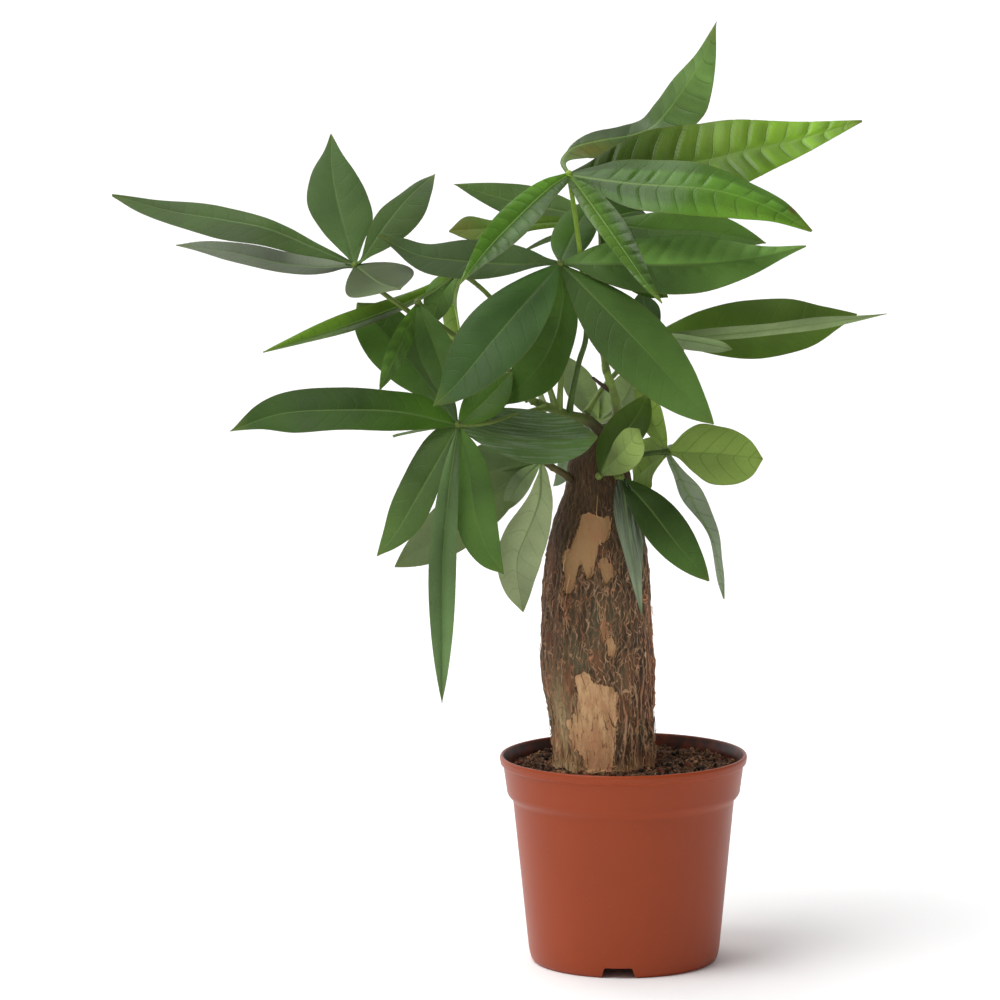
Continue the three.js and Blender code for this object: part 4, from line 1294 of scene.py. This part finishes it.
        "hub": (458, 425, -44), "stalk": [(484, 424, -38), (510, 417, -28), (545, 408, -10)],
        "colour": "green", "pucker": 0.25, "spacing": 8.5,
        "leaflets": [
            {
                "rib": [(400, 412, -48), (340, 410, -48), (280, 414, -44), (230, 431, -38)],
                "sides": [(3.5, 6), (7.5, 11), (11.5, 11), (12, 13), (12, 12), (5, 8)], "fold": 6,
                "tone": "deep", "left": (1.4, 1, 0.95), "right": (1.8, 0.65, 0.9),
            },
            {
                "rib": [(439, 459, -52), (416, 499, -56), (396, 533, -58), (377, 556, -58)],
                "sides": [(1, 7), (2.5, 10), (5, 11.5), (8.5, 11), (9, 9), (5, 5)], "fold": 6,
                "tone": "leafy", "left": (0.6, 0.75, 1), "right": (0.95, 0.65, 1.3),
            },
            {
                "rib": [(450, 480, -60), (443, 560, -66), (442, 640, -66), (442, 703, -62)], "width": 15,
                "fold": 30, "tone": "grey", "left": (0.85, 1.7, 2.4), "right": (2.4, 1.6, 2.2),
            },
            {
                "rib": [(468, 470, -52), (475, 515, -60), (488, 552, -62), (504, 574, -62)],
                "sides": [(3, 1.5), (6.5, 3.5), (9.5, 6.5), (10.5, 8.5), (9, 9.5), (6, 6.5)], "fold": 6,
                "tone": "mid", "left": (1.7, 1.1, 1.8), "right": (2.2, 1.6, 1.8),
            },
            {
                "rib": [(500, 435, -40), (550, 440, -34), (598, 437, -26)],
                "sides": [(4.5, 3), (10.5, 5.5), (17.5, 9), (20, 13), (18.5, 12), (13, 7.5)], "fold": -6,
                "tone": "fern", "sheenStreak": 1, "gloss": 0.6, "left": (1.5, 0.85, 1.2),
                "right": (1.2, 1.4, 1.6), "pucker": 0.5,
            },
            {
                "rib": [(482, 404, -38), (512, 372, -32)], "width": 20, "tone": "bright",
                "left": (1.6, 1.1, 1.1), "right": (1.3, 1.2, 0.9),
            },
            {
                "rib": [(438, 398, -22), (403, 354, -2), (357, 303, 12)],
                "sides": [(1, 2), (2.5, 4.5), (5.5, 8), (13, 12.5), (15, 14.5), (11, 12)], "fold": 6,
                "tone": "bright", "left": (0.9, 1.4, 1.1), "right": (0.75, 0.8, 0.6),
            },
            {"rib": [(430, 428, -28), (393, 436, -16)], "width": 9, "roll": 50, "tone": "mid"},
        ],
    },
    "leaf_back_left": {
        "hub": (512, 335, 46), "stalk": [(524, 358, 32), (538, 388, 12), (544, 406, -7)],
        "colour": "green", "pucker": 0.25, "spacing": 8,
        "leaflets": [
            {"rib": [(494, 336, 74), (478, 345, 100)], "width": 22, "tone": "mid"},
            {"rib": [(508, 320, 80), (508, 312, 118)], "width": 26, "tone": "mid"},
            {"rib": [(530, 322, 78), (546, 318, 110)], "width": 24, "tone": "mid"},
            {"rib": [(524, 348, 76), (534, 372, 102)], "width": 24, "tone": "mid"},
        ],
    },
    "leaf_trunk_left": {
        "hub": (541, 462, -27), "stalk": [], "colour": "grey", "pucker": 0.3, "spacing": 9,
        "leaflets": [
            {
                "rib": [
                    (540, 497, -34), (534, 517, -38), (525, 538, -41), (518, 556, -43), (517, 572, -44),
                    (523, 612, -44),
                ],
                "sides": [(3, 1), (4.5, 3.5), (7.5, 7), (11, 10.5), (11, 9.5), (6, 6.5)], "fold": 6,
                "tone": "steel", "under": 1, "left": (4, 2.2, 1.6), "right": (3.8, 3, 2.6),
            },
            {
                "rib": [(526, 476, -30), (514, 493, -30), (505, 511, -28)], "width": 11, "fold": 6,
                "tone": "sage", "under": 1, "left": (2.4, 0.9, 0.6), "right": (2.8, 0.45, 0.8),
            },
            {
                "rib": [(500, 490, -24), (438, 537, -20), (395, 567, -16)], "width": 30, "fold": 6,
                "tone": "moss", "under": 1, "left": (1.5, 2.2, 1.1), "right": (1.4, 1.1, 1),
            },
            {
                "rib": [(520, 457, -16), (497, 453, -4), (475, 448, 8)], "width": 26, "fold": 6,
                "tone": "deep", "under": 1, "left": (1.9, 0.9, 0.85), "right": (1.1, 1.1, 1), "dull": 1,
            },
        ],
    },
    "leaf_right_high": {
        "hub": (652, 337, 6), "stalk": [(636, 352, 8), (616, 373, 10), (603, 388, 6), (586, 414, -2)],
        "colour": "green", "pucker": 0.3, "spacing": 8.5,
        "leaflets": [
            {
                "rib": [(700, 333, 18), (760, 330, 28), (815, 324, 36), (857, 314, 44)],
                "sides": [(4, 4.5), (8, 9.5), (13.5, 14.5), (18, 17.5), (17, 14.5), (8.5, 6)], "fold": 6,
                "tone": "lime", "gloss": 0.5, "left": (1.2, 0.7, 0.6), "right": (0.85, 0.85, 1),
            },
            {
                "rib": [(700, 336, 2), (760, 331, -2), (830, 322, -2), (887, 314, 0)],
                "sides": [(2, 1.5), (3, 2), (4, 2.5), (4, 3), (3.5, 3), (1.5, 1.5)], "roll": 62,
                "fold": 10, "tone": "sage", "left": (0.4, 0.85, 0.75), "right": (0.75, 0.9, 1),
            },
            {
                "rib": [(690, 341, -4), (732, 349, -12)],
                "sides": [(1.5, 1.5), (2.5, 2.5), (3.5, 4.5), (3.5, 6), (3.5, 5.5), (3, 4)],
                "tone": "sage", "left": (1.2, 0.95, 1.7), "right": (1.2, 0.75, 1.3), "sheenStreak": 0.6,
            },
            {
                "rib": [(646, 312, 46), (642, 292, 80)], "width": 14, "tone": "deep",
                "left": (1.2, 1.1, 1.1), "right": (1.1, 1.2, 0.95), "dull": 0.9,
            },
            {"rib": [(662, 345, 50), (670, 360, 84)], "width": 22, "tone": "mid"},
        ],
    },
    "leaf_right_low": {
        "hub": (667, 452, -8), "stalk": [(652, 453, -8), (636, 456, -8), (614, 460, -6)],
        "colour": "fresh", "pucker": 0.2, "spacing": 8, "stalkTone": "darkStem",
        "leaflets": [
            {
                "rib": [(700, 453, -12), (730, 455, -14), (763, 459, -12)],
                "sides": [(5, 1.5), (11.5, 4), (16.5, 11), (16, 18), (14.5, 17.5), (10, 11.5)],
                "fold": 6, "tone": "moss", "left": (3.8, 3.4, 3.6), "right": (3.4, 3, 3.8),
            },
            {
                "rib": [
                    (684, 485, -14), (700, 515, -15), (713, 540, -16), (719, 566, -14), (724, 599, -10),
                ],
                "sides": [(1.5, 2), (3, 2.5), (6.5, 4.5), (5.5, 1.5), (2.5, 2), (1.5, 2)], "fold": 12,
                "tone": "mist", "left": (4.6, 4.2, 5), "right": (5.2, 4.2, 5), "sheenStreak": 0.9,
            },
            {
                "rib": [(652, 463, 2), (633, 480, 10)],
                "sides": [(2, 3), (5, 6), (9, 11), (12, 15), (12, 15), (8, 12)], "fold": 6,
                "tone": "moss", "left": (4.8, 3.2, 4.8), "right": (4.8, 2.8, 5.2),
            },
            {
                "rib": [(654, 425, 2), (646, 400, 6), (634, 376, 8)], "width": 12, "tone": "moss",
                "left": (4, 2, 3), "right": (4, 3.8, 4),
            },
            {
                "rib": [(688, 455, 18), (716, 456, 50)], "width": 22, "blunt": 1, "fold": 6,
                "tone": "lime",
            },
        ],
    },
    "leaf_front_low": {
        "hub": (621, 477, -22), "stalk": [(614, 476, -8)], "colour": "green", "pucker": 0.25,
        "spacing": 8,
        "leaflets": [
            {
                "rib": [(625, 505, -30), (629, 535, -35), (635, 570, -36), (642, 616, -34)],
                "sides": [(3, 3), (5.5, 5), (7, 6), (6, 4.5), (3, 3), (1.5, 1.5)], "fold": 15,
                "tone": "mist", "sheenStreak": 0.8, "left": (0.35, 0.7, 3), "right": (0.55, 2, 3),
                "dull": 0.6,
            },
            {
                "rib": [(649, 508, -32), (681, 549, -38), (709, 581, -38)], "width": 22, "tone": "mid",
                "left": (0.7, 0.45, 1.1), "right": (0.45, 0.5, 1.3),
            },
        ],
    },
    "leaf_front_small": {
        "hub": (599, 476, -21), "stalk": [(599, 478, -8)], "colour": "fresh", "pucker": 0.15,
        "spacing": 7,
        "leaflets": [
            {
                "rib": [(618, 457, -28), (639, 429, -34)],
                "sides": [(1.5, 1.5), (2.5, 3.5), (5.5, 7), (7, 10.5), (7, 11), (5.5, 8.5)], "fold": 6,
                "tone": "soft", "left": (0.9, 0.6, 1.7), "right": (0.75, 0.85, 1.9),
            },
            {
                "rib": [(613, 447, -20), (635, 419, -18), (649, 394, -16)], "width": 20, "tone": "lime",
                "left": (0.4, 0.45, 0.75), "right": (0.55, 0.55, 0.7),
            },
        ],
    },
    "leaf_back_low": {
        "hub": (598, 422, 22), "stalk": [(608, 420, 13), (617, 415, 4)], "colour": "grey", "pucker": 0.3,
        "spacing": 8,
        "leaflets": [
            {
                "rib": [(584, 395, 28), (568, 357, 42)], "width": 16, "fold": 6, "tone": "moss",
                "under": 1, "left": (1.9, 1, 1.6), "right": (4, 1.6, 2),
            },
            {
                "rib": [(606, 402, 32), (616, 380, 46)], "width": 12, "fold": 6, "tone": "sage",
                "under": 1,
            },
            {
                "rib": [(622, 402, 32), (640, 365, 50)], "width": 20, "fold": 6, "tone": "soft",
                "under": 1, "left": (1.6, 1.1, 1.1), "right": (1, 0.6, 1),
            },
            {"rib": [(622, 436, 46), (640, 468, 76)], "width": 22, "fold": 6, "tone": "fern"},
            {"rib": [(580, 440, 44), (553, 486, 72)], "width": 22, "fold": 6, "tone": "fern"},
            {"rib": [(600, 428, 60), (604, 452, 106)], "width": 26, "fold": 6, "tone": "fern"},
        ],
    },
}
leafFinish = {
    "green": {
        "slot": "leaf_green", "shine": 0.48, "specular": 0.2, "glow": 0.2, "net": 0.05, "veins": 0.08,
        "vein": colour(86, 116, 56), "rib": colour(112, 138, 74), "margin": colour(104, 96, 54),
        "tip": colour(104, 120, 46), "pale": colour(128, 148, 100), "through": colour(120, 160, 34),
    },
    "fresh": {
        "slot": "leaf_fresh", "shine": 0.4, "specular": 0.28, "glow": 0.3, "net": 0.05, "veins": 0.45,
        "vein": colour(64, 96, 26), "rib": colour(134, 166, 76), "margin": colour(116, 104, 52),
        "tip": colour(130, 146, 56), "pale": colour(138, 160, 96), "through": colour(136, 176, 34),
    },
    "grey": {
        "slot": "leaf_grey", "shine": 0.55, "specular": 0.25, "glow": 0.18, "net": 0.05, "veins": 0.08,
        "vein": colour(92, 118, 74), "rib": colour(116, 140, 88), "margin": colour(104, 98, 62),
        "tip": colour(108, 122, 58), "pale": colour(136, 152, 112), "through": colour(124, 158, 56),
    },
}


def bladeWidth(share, widest, sharpness):
    base = sharpness * widest
    return (share / widest) ** base * ((1 - share) / (1 - widest)) ** (sharpness - base)


def bladeHalves(leaflet, share, v):
    # half widths in mm at each share of the length, left and right of the rib
    shape = leafShape
    least = np.where(share < 0.5, shape["baseWidth"], shape["tipWidth"]) / 2
    if "sides" in leaflet:
        drawn = 60  # the length at which the outline is eased, in mm
        inner = [(station, *pair) for station, pair in zip(shape["stations"], leaflet["sides"])]
        corners = [(0, least[0], least[0]), *inner, (1, least[-1], least[-1])]
        route = smoothRoute(np.array(corners) * (drawn, 1, 1))
        left, right = (np.interp(share * drawn, route[:, 0], route[:, k]) for k in (1, 2))
    else:
        outline = shape["blunt" if "blunt" in leaflet else "pointed"]
        left = right = leaflet["width"] * bladeWidth(share, *outline) / 2
    left, right = np.maximum(left, least), np.maximum(right, least)
    return np.where(v < 0, left[:, None], right[:, None])


def bladeGrid(hub, leaf, leaflet, chance):
    # a leaflet's measures at each place along (rows) and across (columns), and its frame in space
    shape = leafShape
    points = [hub] + [place(*p) for p in leaflet["rib"]]
    length = routeLength(points)
    even = np.linspace(0, 1, int(np.clip(length / leaf.get("step", shape["step"]), *shape["rows"])))
    share = 0.65 * even + 0.35 * (1 - np.cos(math.pi * even)) / 2
    middle, along, _ = evenRoute(points, share)
    facing = np.array(shape["facing"])
    up = unit(facing - along * (along @ facing)[:, None])
    roll = math.radians(leaflet.get("roll", 0))
    up = up * math.cos(roll) + np.cross(along, up) * math.sin(roll)
    v = np.linspace(-1, 1, shape["columns"] + 1)
    v = np.sign(v) * np.abs(v) ** 1.15
    half = bladeHalves(leaflet, share, v)
    return {
        "middle": middle, "up": up, "right": np.cross(along, up), "share": share[:, None],
        "run": (share * length)[:, None], "v": v, "edge": np.abs(v), "half": half, "across": v * half,
        "seed": chance.uniform(0, 20),
    }


def countVeins(grid, leaf, leaflet):
    # the number of the nearest vein, how far off it is, and how freely the blade puckers there
    share, run, v, edge, across = (grid[k] for k in ("share", "run", "v", "edge", "across"))
    slant = leaf.get("slope", leafShape["slope"]) * np.abs(across) * (0.7 + 0.9 * edge)
    count = (run - slant) / leaflet.get("spacing", leaf["spacing"])
    count = count + 0.22 * np.tanh(across / 2) + 0.16 * np.sin(run / 11 + grid["seed"])
    freely = smoothStep(0.04, 0.25, edge) * (1 - 0.75 * smoothStep(0.8, 1, edge))
    freely = freely * smoothStep(0.02, 0.14, share) * (1 - 0.7 * smoothStep(0.82, 1, share))
    if "puckered" in leaflet:
        reach = np.where(v < 0, *leaflet["puckered"])
        freely = freely * (1 - smoothStep(reach - 0.1, reach + 0.1, edge))
    freely = freely * np.where(v < 0, *leaflet.get("ruffled", (1, 1)))
    grid.update(count=count, turned=count - np.round(count), freely=freely)


def bladeFaces(grid, leaf, leaflet):
    # the heights of the front and the back over the leaflet's frame, in mm
    share, run, v, edge, half, across = (grid[k] for k in ("share", "run", "v", "edge", "half", "across"))
    shape, seed, turned = leafShape, grid["seed"], grid["turned"]
    fold = math.radians(leaflet.get("fold", shape["fold"]))
    groove = np.exp(-((turned / 0.085) ** 2))
    uneven = 0.72 + 0.45 * np.sin(1.7 * np.round(grid["count"]) + seed)
    pucker = leaflet.get("pucker", leaf["pucker"]) * grid["freely"] * uneven
    pucker = pucker * (0.2 - 0.62 * groove - 0.12 * np.abs(2 * turned))
    wave = shape["wave"] * edge ** 2 * np.sin(run / 9 + seed + 1.3 * np.sign(v))
    droop = shape["droop"] * half * edge ** 3
    lift = half * math.sin(fold) * (1.4 * edge - 0.4 * edge ** 2) + pucker + wave - droop
    channel = 0.3 * np.exp(-((across / 0.8) ** 2)) * (1 - share)
    spine = shape["rib"] * np.exp(-((across / 0.9) ** 2)) * (1 - 0.85 * share)
    thick = (shape["thickness"] + np.exp(-run / 3)) * (1 - 0.5 * edge ** 6)
    if "under" in leaflet:
        front = lift + 0.6 * spine
        return front, front - thick
    front = lift - channel
    return front, front - thick - spine


def bladeTone(grid, leaflet):
    share, run, v, seed = (grid[k] for k in ("share", "run", "v", "seed"))
    stations = leafShape["shadeStations"]
    # painted light and shade: each half's factors, the bands across the blade and the puckers' cells
    halves = [np.interp(share, stations, leaflet.get(k, (1, 1, 1))) for k in ("left", "right")]
    shade = np.where(v < 0, *halves) * np.interp(v, *zip(*leaflet.get("shadeBands", [(-1, 1), (1, 1)])))
    shade = shade * (1 + 0.05 * np.sin(run / 17 + seed + 2.1 * np.sign(v)))
    lively = 0.7 + 0.5 * np.sin(2.3 * np.round(grid["count"]) + 2 * seed)
    cells = lively * np.sin(2 * math.pi * grid["turned"]) - 0.8 * np.exp(-((grid["turned"] / 0.06) ** 2))
    shade = shade * (1 + leaflet.get("cells", 0) * grid["freely"] * cells)
    tone = np.array(leafTones[leaflet["tone"]]) * shade[..., None]
    for midShare, midAcross, long, wide, label, amount in leaflet.get("patches", []):
        near = amount * np.exp(-(((share - midShare) / long) ** 2) - ((v - midAcross) / wide) ** 2)
        tone = tone + (np.array(leafTones[label]) - tone) * near[..., None]
    return tone


def bothFaces(front, back):
    # a row runs over the front from left to right and comes back behind
    return np.concatenate([front, back[:, ::-1]], axis=1)


def spread(*values):
    made = np.stack(np.broadcast_arrays(*values), axis=-1)
    return bothFaces(made, made)


def addLeaflet(skin, hub, leaf, leaflet, chance):
    grid = bladeGrid(hub, leaf, leaflet, chance)
    countVeins(grid, leaf, leaflet)
    front, back = bladeFaces(grid, leaf, leaflet)
    fold = math.radians(leaflet.get("fold", leafShape["fold"]))
    sideways = (grid["across"] * math.cos(fold) * mm)[..., None]
    flat = grid["middle"][:, None] + grid["right"][:, None] * sideways
    top, bottom = (flat + grid["up"][:, None] * (side * mm)[..., None] for side in (front, back))
    tone = bladeTone(grid, leaflet)
    columns = leafShape["columns"]
    addRings(
        skin, bothFaces(top, bottom),
        np.repeat([1, 0] if "under" in leaflet else [0, 1], columns + 1),
        (0, columns, columns + 1, 2 * columns + 1),
        tone=bothFaces(tone, tone),
        blade=spread(grid["run"], grid["across"], grid["count"]),
        part=spread(grid["share"], grid["edge"], grid["seed"] / 20),
        look=[leaflet.get(k, 0) for k in ("gloss", "sheenStreak", "dull")],
    )


stemValues = {"blade": (0, 0, 0), "part": (0.5, 0, 0), "look": (0, 0, 0)}


def addStalk(skin, points, tones):
    # a leaf stalk, thicker where it meets the hub and the shoot
    length = routeLength(points)
    shares = np.linspace(0, 1, max(8, int(length / 2)))
    atHub, atFoot = leafShape["stalkSwell"]
    sizes = leafShape["stalkRadius"] * (1 + 0.3 * shares)
    sizes = sizes + atHub * np.exp(-shares * length / 4) + atFoot * np.exp(-(1 - shares) * length / 5)
    rings = tubeRings(points, sizes * mm, 12, shares)
    darkens = smoothStep(0.4, 0.62, shares)[:, None, None]
    tone = (1 - darkens) * np.array(tones[0]) + darkens * np.array(tones[1])
    addRings(skin, rings, 2, tone=tone, **stemValues)


def addHub(skin, hub, tone):
    # the small knuckle that the leaflets spread from
    radius = leafShape["hubRadius"] * mm
    tilt = np.linspace(0.05, math.pi - 0.05, 10)[:, None]
    turn = np.linspace(0, 2 * math.pi, 14, endpoint=False)
    bulge = radius * (1 + 0.08 * np.cos(3 * turn + 2 * tilt))
    shape = (np.sin(tilt) * np.cos(turn), np.sin(tilt) * np.sin(turn), -np.cos(tilt) * np.ones_like(turn))
    rings = hub + np.stack(shape, axis=-1) * bulge[..., None]
    addRings(skin, rings, 2, tone=tone, **stemValues)


def makeLeaf(name, leaf):
    chance = random.Random(name)
    skin = newSkin()
    hub = place(*leaf["hub"])
    tone = leafTones[leaf.get("stalkTone", leafShape["stalkTone"])]
    footTone = leafTones[leaf["stalkFoot"]] if "stalkFoot" in leaf else tone
    for leaflet in leaf["leaflets"]:
        addLeaflet(skin, hub, leaf, leaflet, chance)
    addHub(skin, hub, tone)
    if leaf["stalk"]:
        addStalk(skin, [hub] + [place(*p) for p in leaf["stalk"]], (tone, footTone))
    kinds = ("bladeTop_", "bladeUnder_", "stalk_")
    materials = [bpy.data.materials[kind + leaf["colour"]] for kind in kinds]
    makePiece(name + "_fine", skin, materials, name)


def bladeMaterial(name, finish, under):
    material, tree = newMaterial(name)
    tone = attribute(tree, "tone")["Color"]
    gloss, sheenStreak, dull = parted(tree, attribute(tree, "look")["Vector"])
    along, across, _ = parted(tree, attribute(tree, "blade")["Vector"])
    pattern = useGroup(tree, bladePattern, {"Vein Width": 0.55, "Rib Width": 0.75, "Net Size": 1.5})
    body = mixed(tree, 0.45, tone, finish["pale"]) if under else tone
    uneven = useGroup(tree, mottle, {
        "Color": body, "Broad Size": 24.0, "Broad": 0.12, "Fine Size": 1.1, "Fine": 0.05,
    })
    # painted sheen: silvery streaks along the blade
    drawn = addNode(tree, "CombineXYZ", {0: times(tree, along, 0.05), 1: across}).outputs[0]
    silverSheen = ramp(tree, cloud(tree, drawn, 0.9, 3.0, 0.6), 0.42, 0.66, 0.0, 0.6)
    silverSheen = times(tree, sheenStreak, silverSheen)
    body = mixed(tree, silverSheen, uneven["Color"], leafShape["sheenSilver"])
    shown = mixed(tree, times(tree, pattern["Net"], finish["net"]), body, finish["vein"])
    veinShare = times(tree, pattern["Vein"], 0.22 if under else finish["veins"])
    shown = mixed(tree, veinShare, shown, finish["vein"])
    shown = mixed(tree, times(tree, pattern["Rib"], 0.7 if under else 0.5), shown, finish["rib"])
    shown = mixed(tree, times(tree, pattern["Tip"], 0.45), shown, finish["tip"])
    shown = mixed(tree, times(tree, pattern["Margin"], 0.35), shown, finish["margin"])
    ups = times(tree, pattern["Vein"], 0.6 if under else -0.6)
    ups = plus(tree, ups, times(tree, pattern["Net"], 0.22 if under else -0.16))
    ups = plus(tree, ups, times(tree, pattern["Rib"], 0.5 if under else -0.3))
    normal = bumped(tree, ups, 0.55, 0.25)
    shine = less(tree, finish["shine"] + (0.12 if under else 0), times(tree, gloss, 0.14))
    shine = plus(tree, shine, times(tree, uneven["Value"], 0.3))
    # dark blades reflect less of the pale room
    depth = addNode(tree, "RGBToBW", {0: tone}).outputs[0]
    level = times(tree, ramp(tree, depth, 0.0, 0.12, 0.3, 1.0), finish["specular"])
    level = times(tree, level, less(tree, 1.0, dull))
    surface = principled(tree, shown, shine, normal, level)
    lit = mixed(tree, 1.0, shown, finish["through"], "MULTIPLY")
    lit = mixed(tree, 0.45, lit, finish["through"])
    through = addNode(tree, "BsdfTranslucent", {"Color": lit, "Normal": normal}).outputs[0]
    closeMaterial(tree, addNode(tree, "MixShader", {0: finish["glow"], 1: surface, 2: through}).outputs[0])
    return material


def stalkMaterial(name):
    material, tree = newMaterial(name)
    tone = attribute(tree, "tone")["Color"]
    uneven = useGroup(tree, mottle, {
        "Color": tone, "Broad Size": 9.0, "Broad": 0.16, "Fine Size": 0.8, "Fine": 0.1,
    })
    height = useGroup(tree, grain, {"Size": 0.7, "Stretch": 0.25})["Height"]
    closeMaterial(tree, principled(tree, uneven["Color"], 0.46, bumped(tree, height, 0.3, 0.2), 0.25))
    return material


for label, finish in leafFinish.items():
    bladeMaterial("bladeTop_" + label, finish, False)
    bladeMaterial("bladeUnder_" + label, finish, True)
    stalkMaterial("stalk_" + label)
for name, leaf in leaves.items():
    makeLeaf(name, leaf)
print("leaves made:", len(leaves))


# Shoots: green stems from the trunk's crown, with leaf scars, a stub and a dead twig
shoots = {
    "shoot_left": {
        "route": [(606, 440, 2), (590, 422, -3), (568, 415, -6), (548, 407, -8), (528, 399, -9)],
        "radii": (3.2, 1.8),
        "tones": (colour(74, 62, 40), colour(96, 112, 52)),
        "scars": (0.3, 0.52, 0.7, 0.88),
        "stubs": [],
    },
    "shoot_main": {
        "route": [(608, 440, 4), (617, 418, 4), (615, 398, 0), (608, 376, -1), (603, 362, 2)],
        "radii": (3.2, 1.5),
        "tones": (colour(84, 72, 44), colour(120, 140, 66)),
        "scars": (0.3, 0.5, 0.72, 0.9),
        "stubs": [{"route": [(612, 392, 1), (602, 385, -3), (592, 377, -7)], "radii": (1.3, 0.7)}],
    },
}
deadTwig = {
    "route": [(580, 486, -4), (562, 473, -14), (550, 466, -20), (538, 459, -24)],
    "radii": (2.4, 1.2),
    "tones": (colour(62, 46, 34), colour(84, 76, 44)),
    "scars": (0.35, 0.7),
}


def addStem(skin, stem, tones, scars=()):
    sides = 16
    points = [place(*p) for p in stem["route"]]
    length = routeLength(points)
    shares = np.linspace(0, 1, max(16, int(length / 0.8)))
    sizes = stem["radii"][0] + (stem["radii"][1] - stem["radii"][0]) * shares
    for scar in scars:
        sizes = sizes + 0.35 * np.exp(-((shares - scar) * length / 1.1) ** 2)
    sizes = sizes * (1 + 0.05 * np.sin(shares * length / 2.3))
    blunt = np.sqrt(np.clip(1 - ((shares - 0.94) / 0.06) ** 2, 0.03, 1))
    sizes = np.where(shares > 0.94, sizes * blunt, sizes)
    foot, tip = np.array(tones)
    tone = foot + (tip - foot) * smoothStep(0.1, 0.6, shares)[:, None]
    rings = tubeRings(points, sizes * mm, sides, shares)
    addRings(skin, rings, tone=np.repeat(tone[:, None], sides, axis=1))


for name, stem in shoots.items():
    skin = newSkin()
    addStem(skin, stem, stem["tones"], stem["scars"])
    for stub in stem["stubs"]:
        addStem(skin, stub, deadTwig["tones"][:1] * 2)
    makePiece(name + "_fine", skin, [stalkMaterial("skin_" + name)], name)
skin = newSkin()
addStem(skin, deadTwig, deadTwig["tones"], deadTwig["scars"])
makePiece("trunk_twig", skin, [stalkMaterial("twigBark")])
print("shoots made")


# Shreds: loose fibres of bark, many of them along the rims of the peeled places, in mm
shreds = {
    "rims": 110,
    "loose": 150,
    "below": 205,
    "long": (3, 11),
    "thick": (0.16, 0.38),
    "curl": 1.5,
    "tones": ("strand", "redStrand", "foot", "red", "middle"),
    "seed": 5,
}


def makeShreds():
    chance = random.Random(shreds["seed"])
    smooth, outward, _, height = trunkRings()
    across, down = seenAt(smooth)
    front = outward[:, 1] < 0
    sides, rows = trunk["sides"], trunk["rows"]
    starts = []
    for _ in range(shreds["rims"]):
        patch = chance.choice(trunk["peeled"])
        k = chance.randrange(len(patch))
        share = chance.random()
        x, y = (a + (b - a) * share for a, b in zip(patch[k - 1], patch[k]))
        off = np.where(front, np.hypot(across - x, down - y), 1000)
        starts.append(int(off.argmin()))
    tallest = int(np.searchsorted(height[::sides], shreds["below"]))
    for _ in range(shreds["loose"]):
        row = chance.randrange(int(tallest * chance.random() ** 0.7) + 1)
        starts.append(row * sides + chance.randrange(sides))
    skin = newSkin()
    rise = height[sides] - height[0]
    tones = [barkColours[k] for k in shreds["tones"]]
    for start in starts:
        length = chance.uniform(*shreds["long"])
        row, column = divmod(start, sides)
        end = chance.choice((-1, 1))
        lean = chance.uniform(-0.35, 0.35)
        route = []
        for share in np.linspace(0, 1, 7):
            up = int(np.clip(row + end * share * length / rise, 0, rows - 1))
            spot = up * sides + int(column + lean * share * length / 0.7) % sides
            lift = 0.25 + chance.uniform(0, 0.25) + shreds["curl"] * share ** 4 * chance.random()
            route.append(smooth[spot] + outward[spot] * lift * mm)
        shares = np.linspace(0, 1, 10)
        sizes = chance.uniform(*shreds["thick"]) * mm * (1 - 0.6 * shares)
        addRings(skin, tubeRings(route, sizes, 5, shares), tone=chance.choice(tones))
    makePiece("bark_shreds", skin, [stalkMaterial("barkFibre")])


makeShreds()
print("shreds made")


# Floor and light
studio = {
    "floor": 60,
    "floorColour": (0.95, 0.95, 0.95),
    "front": 0.42,
    "back": 1.15,
    "left": 1.25,
    "right": 0.62,
    "sunFrom": (-0.42, -0.25, 0.85),
    "sunPower": 2.2,
    "sunAngle": 38,
    "lamp": {"at": (-0.5, 0.5, 1.9), "aim": (-0.03, 0, 0.24), "size": 0.8, "power": 7},
}


def makeStudio():
    half = studio["floor"] / 2
    mesh = bpy.data.meshes.new("floor")
    corners = [(-half, -half, 0), (half, -half, 0), (half, half, 0), (-half, half, 0)]
    mesh.from_pydata(corners, [], [(0, 1, 2, 3)])
    material, tree = newMaterial("paleFloor")
    shader = addNode(tree, "BsdfPrincipled", {"Base Color": (*studio["floorColour"], 1), "Roughness": 0.9})
    closeMaterial(tree, shader.outputs[0])
    mesh.materials.append(material)
    floor = bpy.data.objects.new("floor", mesh)
    scene.collection.objects.link(floor)
    # a pale backdrop behind the plant, a dimmer room before it
    world = bpy.data.worlds.new("studio")
    world.use_nodes = True
    tree = world.node_tree
    side, depth, _ = parted(tree, addNode(tree, "TexCoord").outputs["Generated"])
    strength = ramp(tree, depth, -0.1, 0.8, studio["front"], studio["back"])
    sideways = ramp(tree, side, -0.8, 0.8, studio["left"], studio["right"])
    strength = times(tree, strength, sideways)
    tree.links.new(strength, tree.nodes["Background"].inputs["Strength"])
    tree.nodes["Background"].inputs["Color"].default_value = (1, 1, 1, 1)
    scene.world = world
    data = bpy.data.lights.new("window", "SUN")
    data.energy = studio["sunPower"]
    data.angle = math.radians(studio["sunAngle"])
    window = bpy.data.objects.new("window", data)
    window.rotation_euler = (-Vector(studio["sunFrom"])).to_track_quat("-Z", "Y").to_euler()
    scene.collection.objects.link(window)
    lamp = studio["lamp"]
    data = bpy.data.lights.new("sheen", "AREA")
    data.size = lamp["size"]
    data.energy = lamp["power"]
    light = bpy.data.objects.new("sheen", data)
    light.location = lamp["at"]
    aim = Vector(lamp["aim"]) - Vector(lamp["at"])
    light.rotation_euler = aim.to_track_quat("-Z", "Y").to_euler()
    scene.collection.objects.link(light)


makeStudio()
bpy.context.view_layer.update()
print("studio made")
